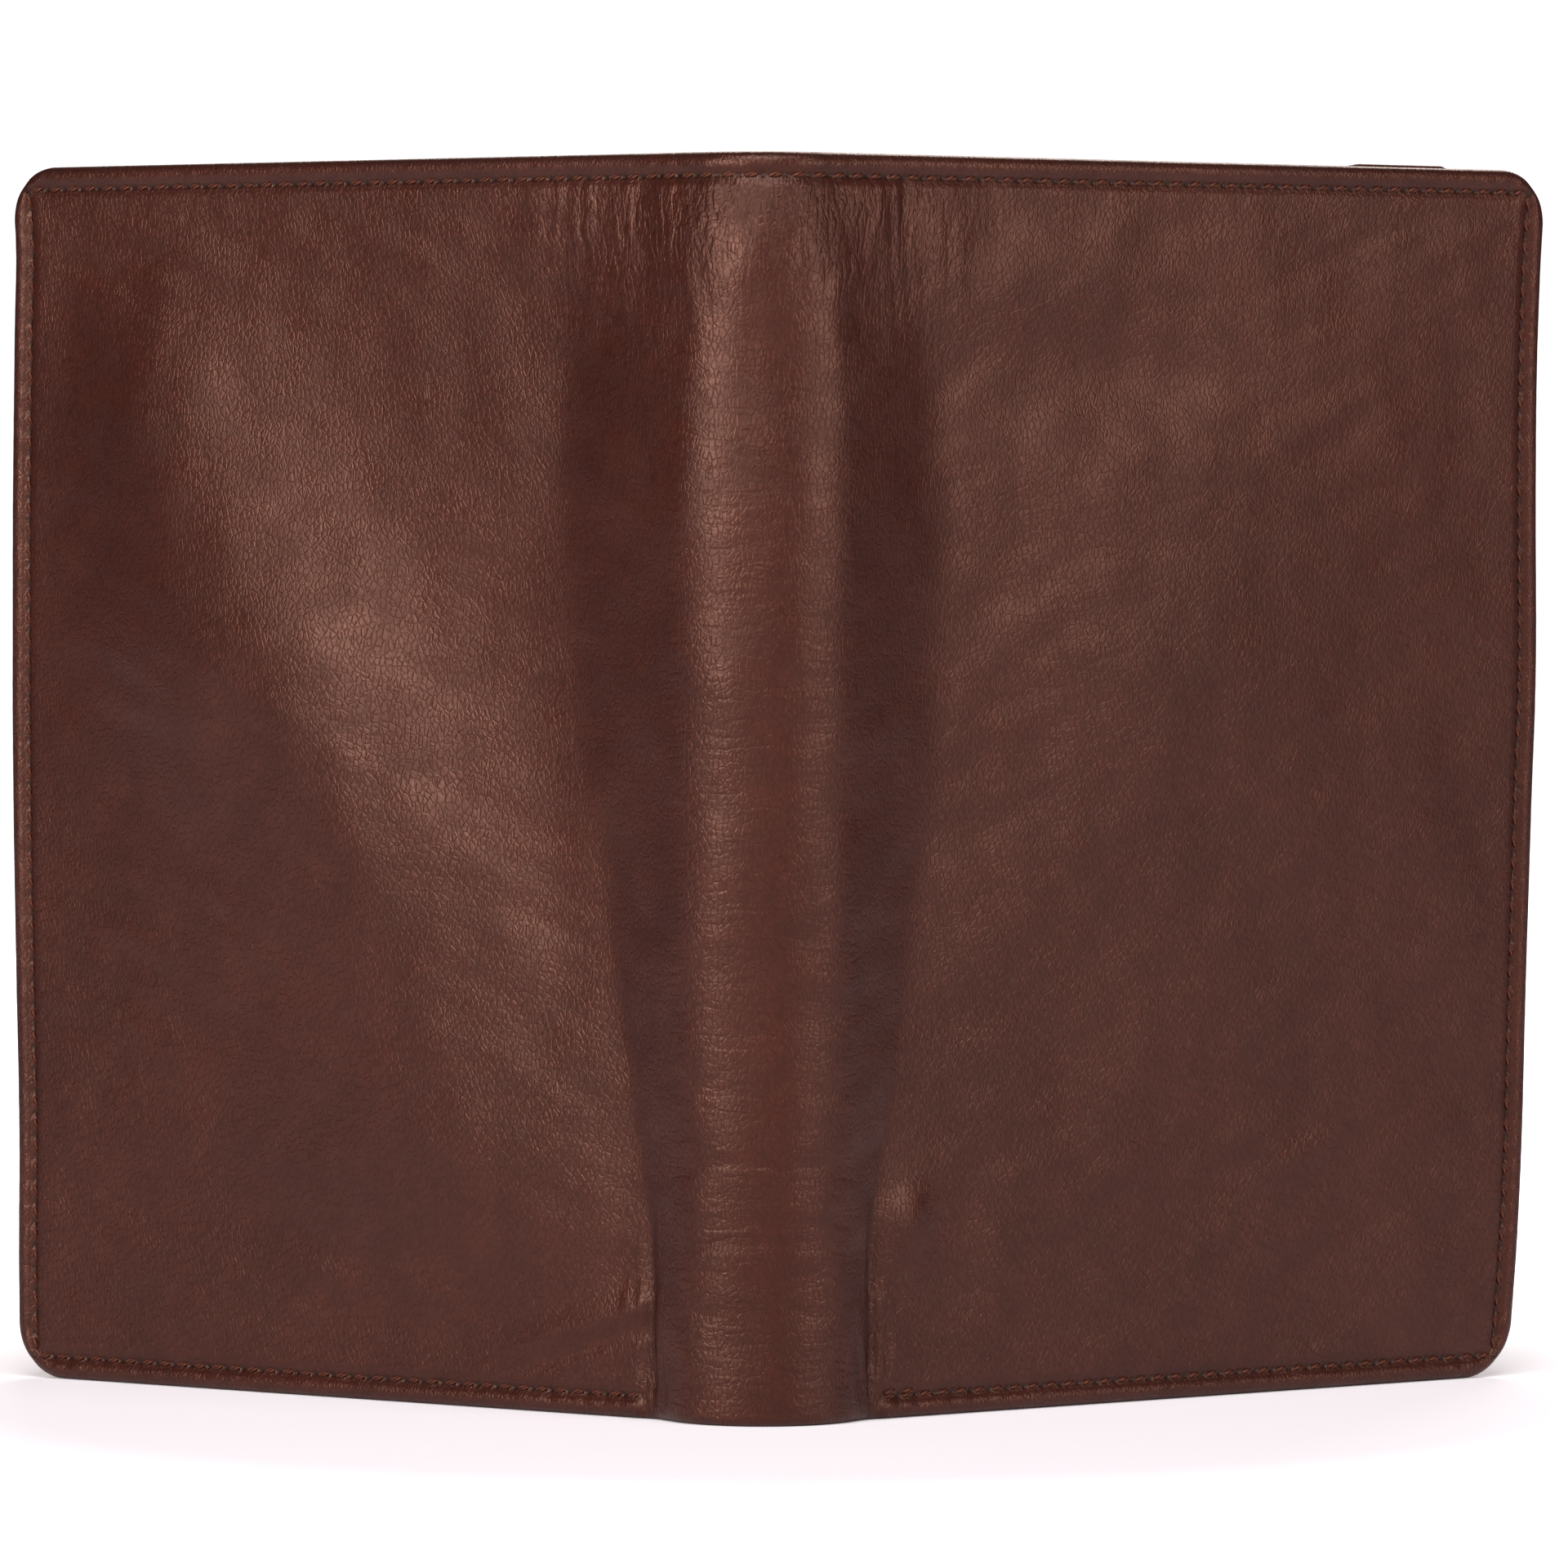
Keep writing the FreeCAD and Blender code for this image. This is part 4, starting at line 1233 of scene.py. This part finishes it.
def make_seams(side):
    top_count, _ = stitches_in(side.reach - SEAM)
    free_count, _ = stitches_in(HEIGHT - 2 * SEAM)
    bottom_count, bottom_pitch = stitches_in(side.reach - SEAM - bottom_seam_start(side))
    corner = side.reach - SEAM
    top = run_of((0, HEIGHT - SEAM), (corner, HEIGHT - SEAM), top_count)
    free = run_of((corner, SEAM), (corner, HEIGHT - SEAM), free_count)
    bottom = run_of((corner, SEAM), (bottom_seam_start(side), SEAM), bottom_count)
    edges = [free, bottom]
    if side is FRONT:
        # Two stitches sewn back over the end of the seam.
        start, beside = bottom_seam_start(side), SEAM + 0.45
        edges.append(run_of((start + 2 * bottom_pitch, beside), (start, beside), 2))
    outer_top = stitch_places(side, [top], hide_outside, along_hide, -1)
    outer_edges = stitch_places(side, edges, hide_outside, along_hide, -1)
    far = top[0][:, 0] > float(side.fold_at(HEIGHT - SEAM)) + FREE_START
    cover_run = [(top[0][far], top[1][far])]
    inner_cover = stitch_places(side, cover_run, inner_face, along_hide, 1)
    bridge = [np.array([[hide_to_divider(side, s, z), z] for s, z in run[~far]]) for run in top]
    spare = bridge[0][0, 0]
    for run in bridge:
        run[:, 0] -= spare * (1 - run[:, 0] / bridge[1][-1, 0])
    inner_bridge = stitch_places(side, [bridge], flat(DIVIDER_FACE), along_divider, 1)
    inner_edges = stitch_places(side, [free, bottom], inner_face, along_hide, 1)
    top_stitches = sew(f"top_stitches_{side.name}", [outer_top, inner_cover, inner_bridge], 11)
    panel_seam = "sleeve_top_seam" if side is BACK else "card_panel_top_seam"
    bends_with(top_stitches, side, f"{side.name}_top_seam", "spine_top_seam", panel_seam)
    edge_stitches = sew(f"edge_stitches_{side.name}", [outer_edges, inner_edges], 12)
    rides_on(edge_stitches, side.body, "thread", f"{side.name}_edge_seam")


def make_pocket_seam():
    """Holds the pockets' fold side down on the panel."""
    from_fold = FREE_START + 2.2
    low, high = 4.0, MOUTHS[0] - 1.5
    count, _ = stitches_in(high - low)
    run = run_of((0, low), (0, high), count)
    run = [np.stack([FRONT.fold_at(part[:, 1]) + from_fold, part[:, 1]], axis=1) for part in run]
    stitches = sew("pocket_stitches", [stitch_places(FRONT, [run], inner_face, along_hide, 1)], 13)
    rides_on(stitches, "front_cover", "thread", "card_pocket_seam")


for side in (BACK, FRONT):
    make_hide(side)
    make_board(side)
    make_lining(side)
    make_divider(side)
make_spine_lining()
make_sleeve_lining()
make_sleeve()
make_card_panel()
for number, mouth in enumerate(MOUTHS, 1):
    make_pocket(number, mouth)
for number in (3, 2, 1):
    make_pocket_lining(number, MOUTHS[number - 1])
SEWING = sewing_nodes()
ONE_STITCH = stitch_shape()
for side in (BACK, FRONT):
    make_seams(side)
make_pocket_seam()
bpy.data.objects.remove(ONE_STITCH)


# The studio: a white table with nothing behind it, tall soft boxes left and right, and smaller ones in front,
# overhead and behind.


def softbox(name, place, aim, width, height, power, colour):
    light = bpy.data.lights.new(name, "AREA")
    light.shape = "RECTANGLE"
    light.size, light.size_y = width, height
    light.energy = power
    light.color = linear(colour)[:3]
    lamp = put(name, light)
    lamp.location = place
    way = mathutils.Vector(aim) - mathutils.Vector(place)
    lamp.rotation_euler = way.to_track_quat("-Z", "Y").to_euler()


def make_table():
    """White card that glows for the camera; within a hand's width of the wallet the glow fades, a painted
    shadow.
    """
    material, tree = new_material("white_table")
    place = add(tree, "ShaderNodeTexCoord").outputs["Object"]
    away = add(tree, "ShaderNodeVectorMath", {0: place}, operation="LENGTH").outputs["Value"]
    seen = add(tree, "ShaderNodeLightPath").outputs["Is Camera Ray"]
    card = {
        "Base Color": linear("#F1ECF4"),
        "Roughness": 0.6,
        "Specular IOR Level": 0.2,
        "Emission Color": linear("#FFFFFF"),
        # Painted shadow: the camera-only glow drops close to the wallet.
        "Emission Strength": maths(tree, "MULTIPLY", ranged(tree, away, 0.09, 0.17, 0.22, 1.1), seen),
    }
    shader = add(tree, "ShaderNodeBsdfPrincipled", card)
    add(tree, "ShaderNodeOutputMaterial", {"Surface": shader.outputs[0]})
    mesh = bpy.data.meshes.new("table")
    mesh.from_pydata([(-6, -6, 0), (6, -6, 0), (6, 6, 0), (-6, 6, 0)], [], [(0, 1, 2, 3)])
    mesh.materials.append(material)
    put("table", mesh)


def make_studio():
    """The white surroundings are for the eye only; the leather mirrors a dimmer room."""
    world = bpy.data.worlds.new("studio")
    bpy.context.scene.world = world
    world.use_nodes = True
    tree = world.node_tree
    tree.nodes.clear()
    seen = add(tree, "ShaderNodeLightPath").outputs["Is Camera Ray"]
    level = ranged(tree, seen, 0.0, 1.0, 0.04, 1.1)
    room = add(tree, "ShaderNodeBackground", {"Color": linear("#FFFFFF"), "Strength": level})
    add(tree, "ShaderNodeOutputWorld", {"Surface": room.outputs[0]})
    softbox("left_softbox", (-0.80, -0.82, 0.40), (0, 0, 0.07), 0.36, 0.60, 9.0, "#FFF4EC")
    softbox("right_softbox", (0.98, -0.66, 0.38), (0, 0, 0.07), 0.50, 0.60, 5.6, "#FFF4EC")
    softbox("front_softbox", (-0.10, -1.30, 0.50), (0, 0, 0.07), 0.36, 0.40, 3.2, "#FFF4EC")
    softbox("rear_softbox", (0.15, 1.25, 0.95), (0, 0, 0.07), 0.8, 0.5, 8.0, "#FFF0E8")
    softbox("top_softbox", (0.0, -0.62, 0.95), (0, 0, 0.08), 0.8, 0.45, 8.0, "#FFFFFF")


def make_camera():
    """A long lens a good metre away, a little below the wallet's top and looking slightly down."""
    data = bpy.data.cameras.new("camera")
    data.lens = 220.8
    data.sensor_width = 36
    camera = put("camera", data)
    camera.location = (0.0101, FOLD[1] * MM - 1.077, 0.1032)
    look = mathutils.Euler((math.radians(90 - 1.69), 0, math.radians(0.41)), "XYZ").to_quaternion()
    roll = mathutils.Quaternion((0, 0, 1), math.radians(0.10))
    camera.rotation_euler = (look @ roll).to_euler()
    bpy.context.scene.camera = camera


make_table()
make_studio()
make_camera()
bpy.context.scene.view_settings.view_transform = "Standard"
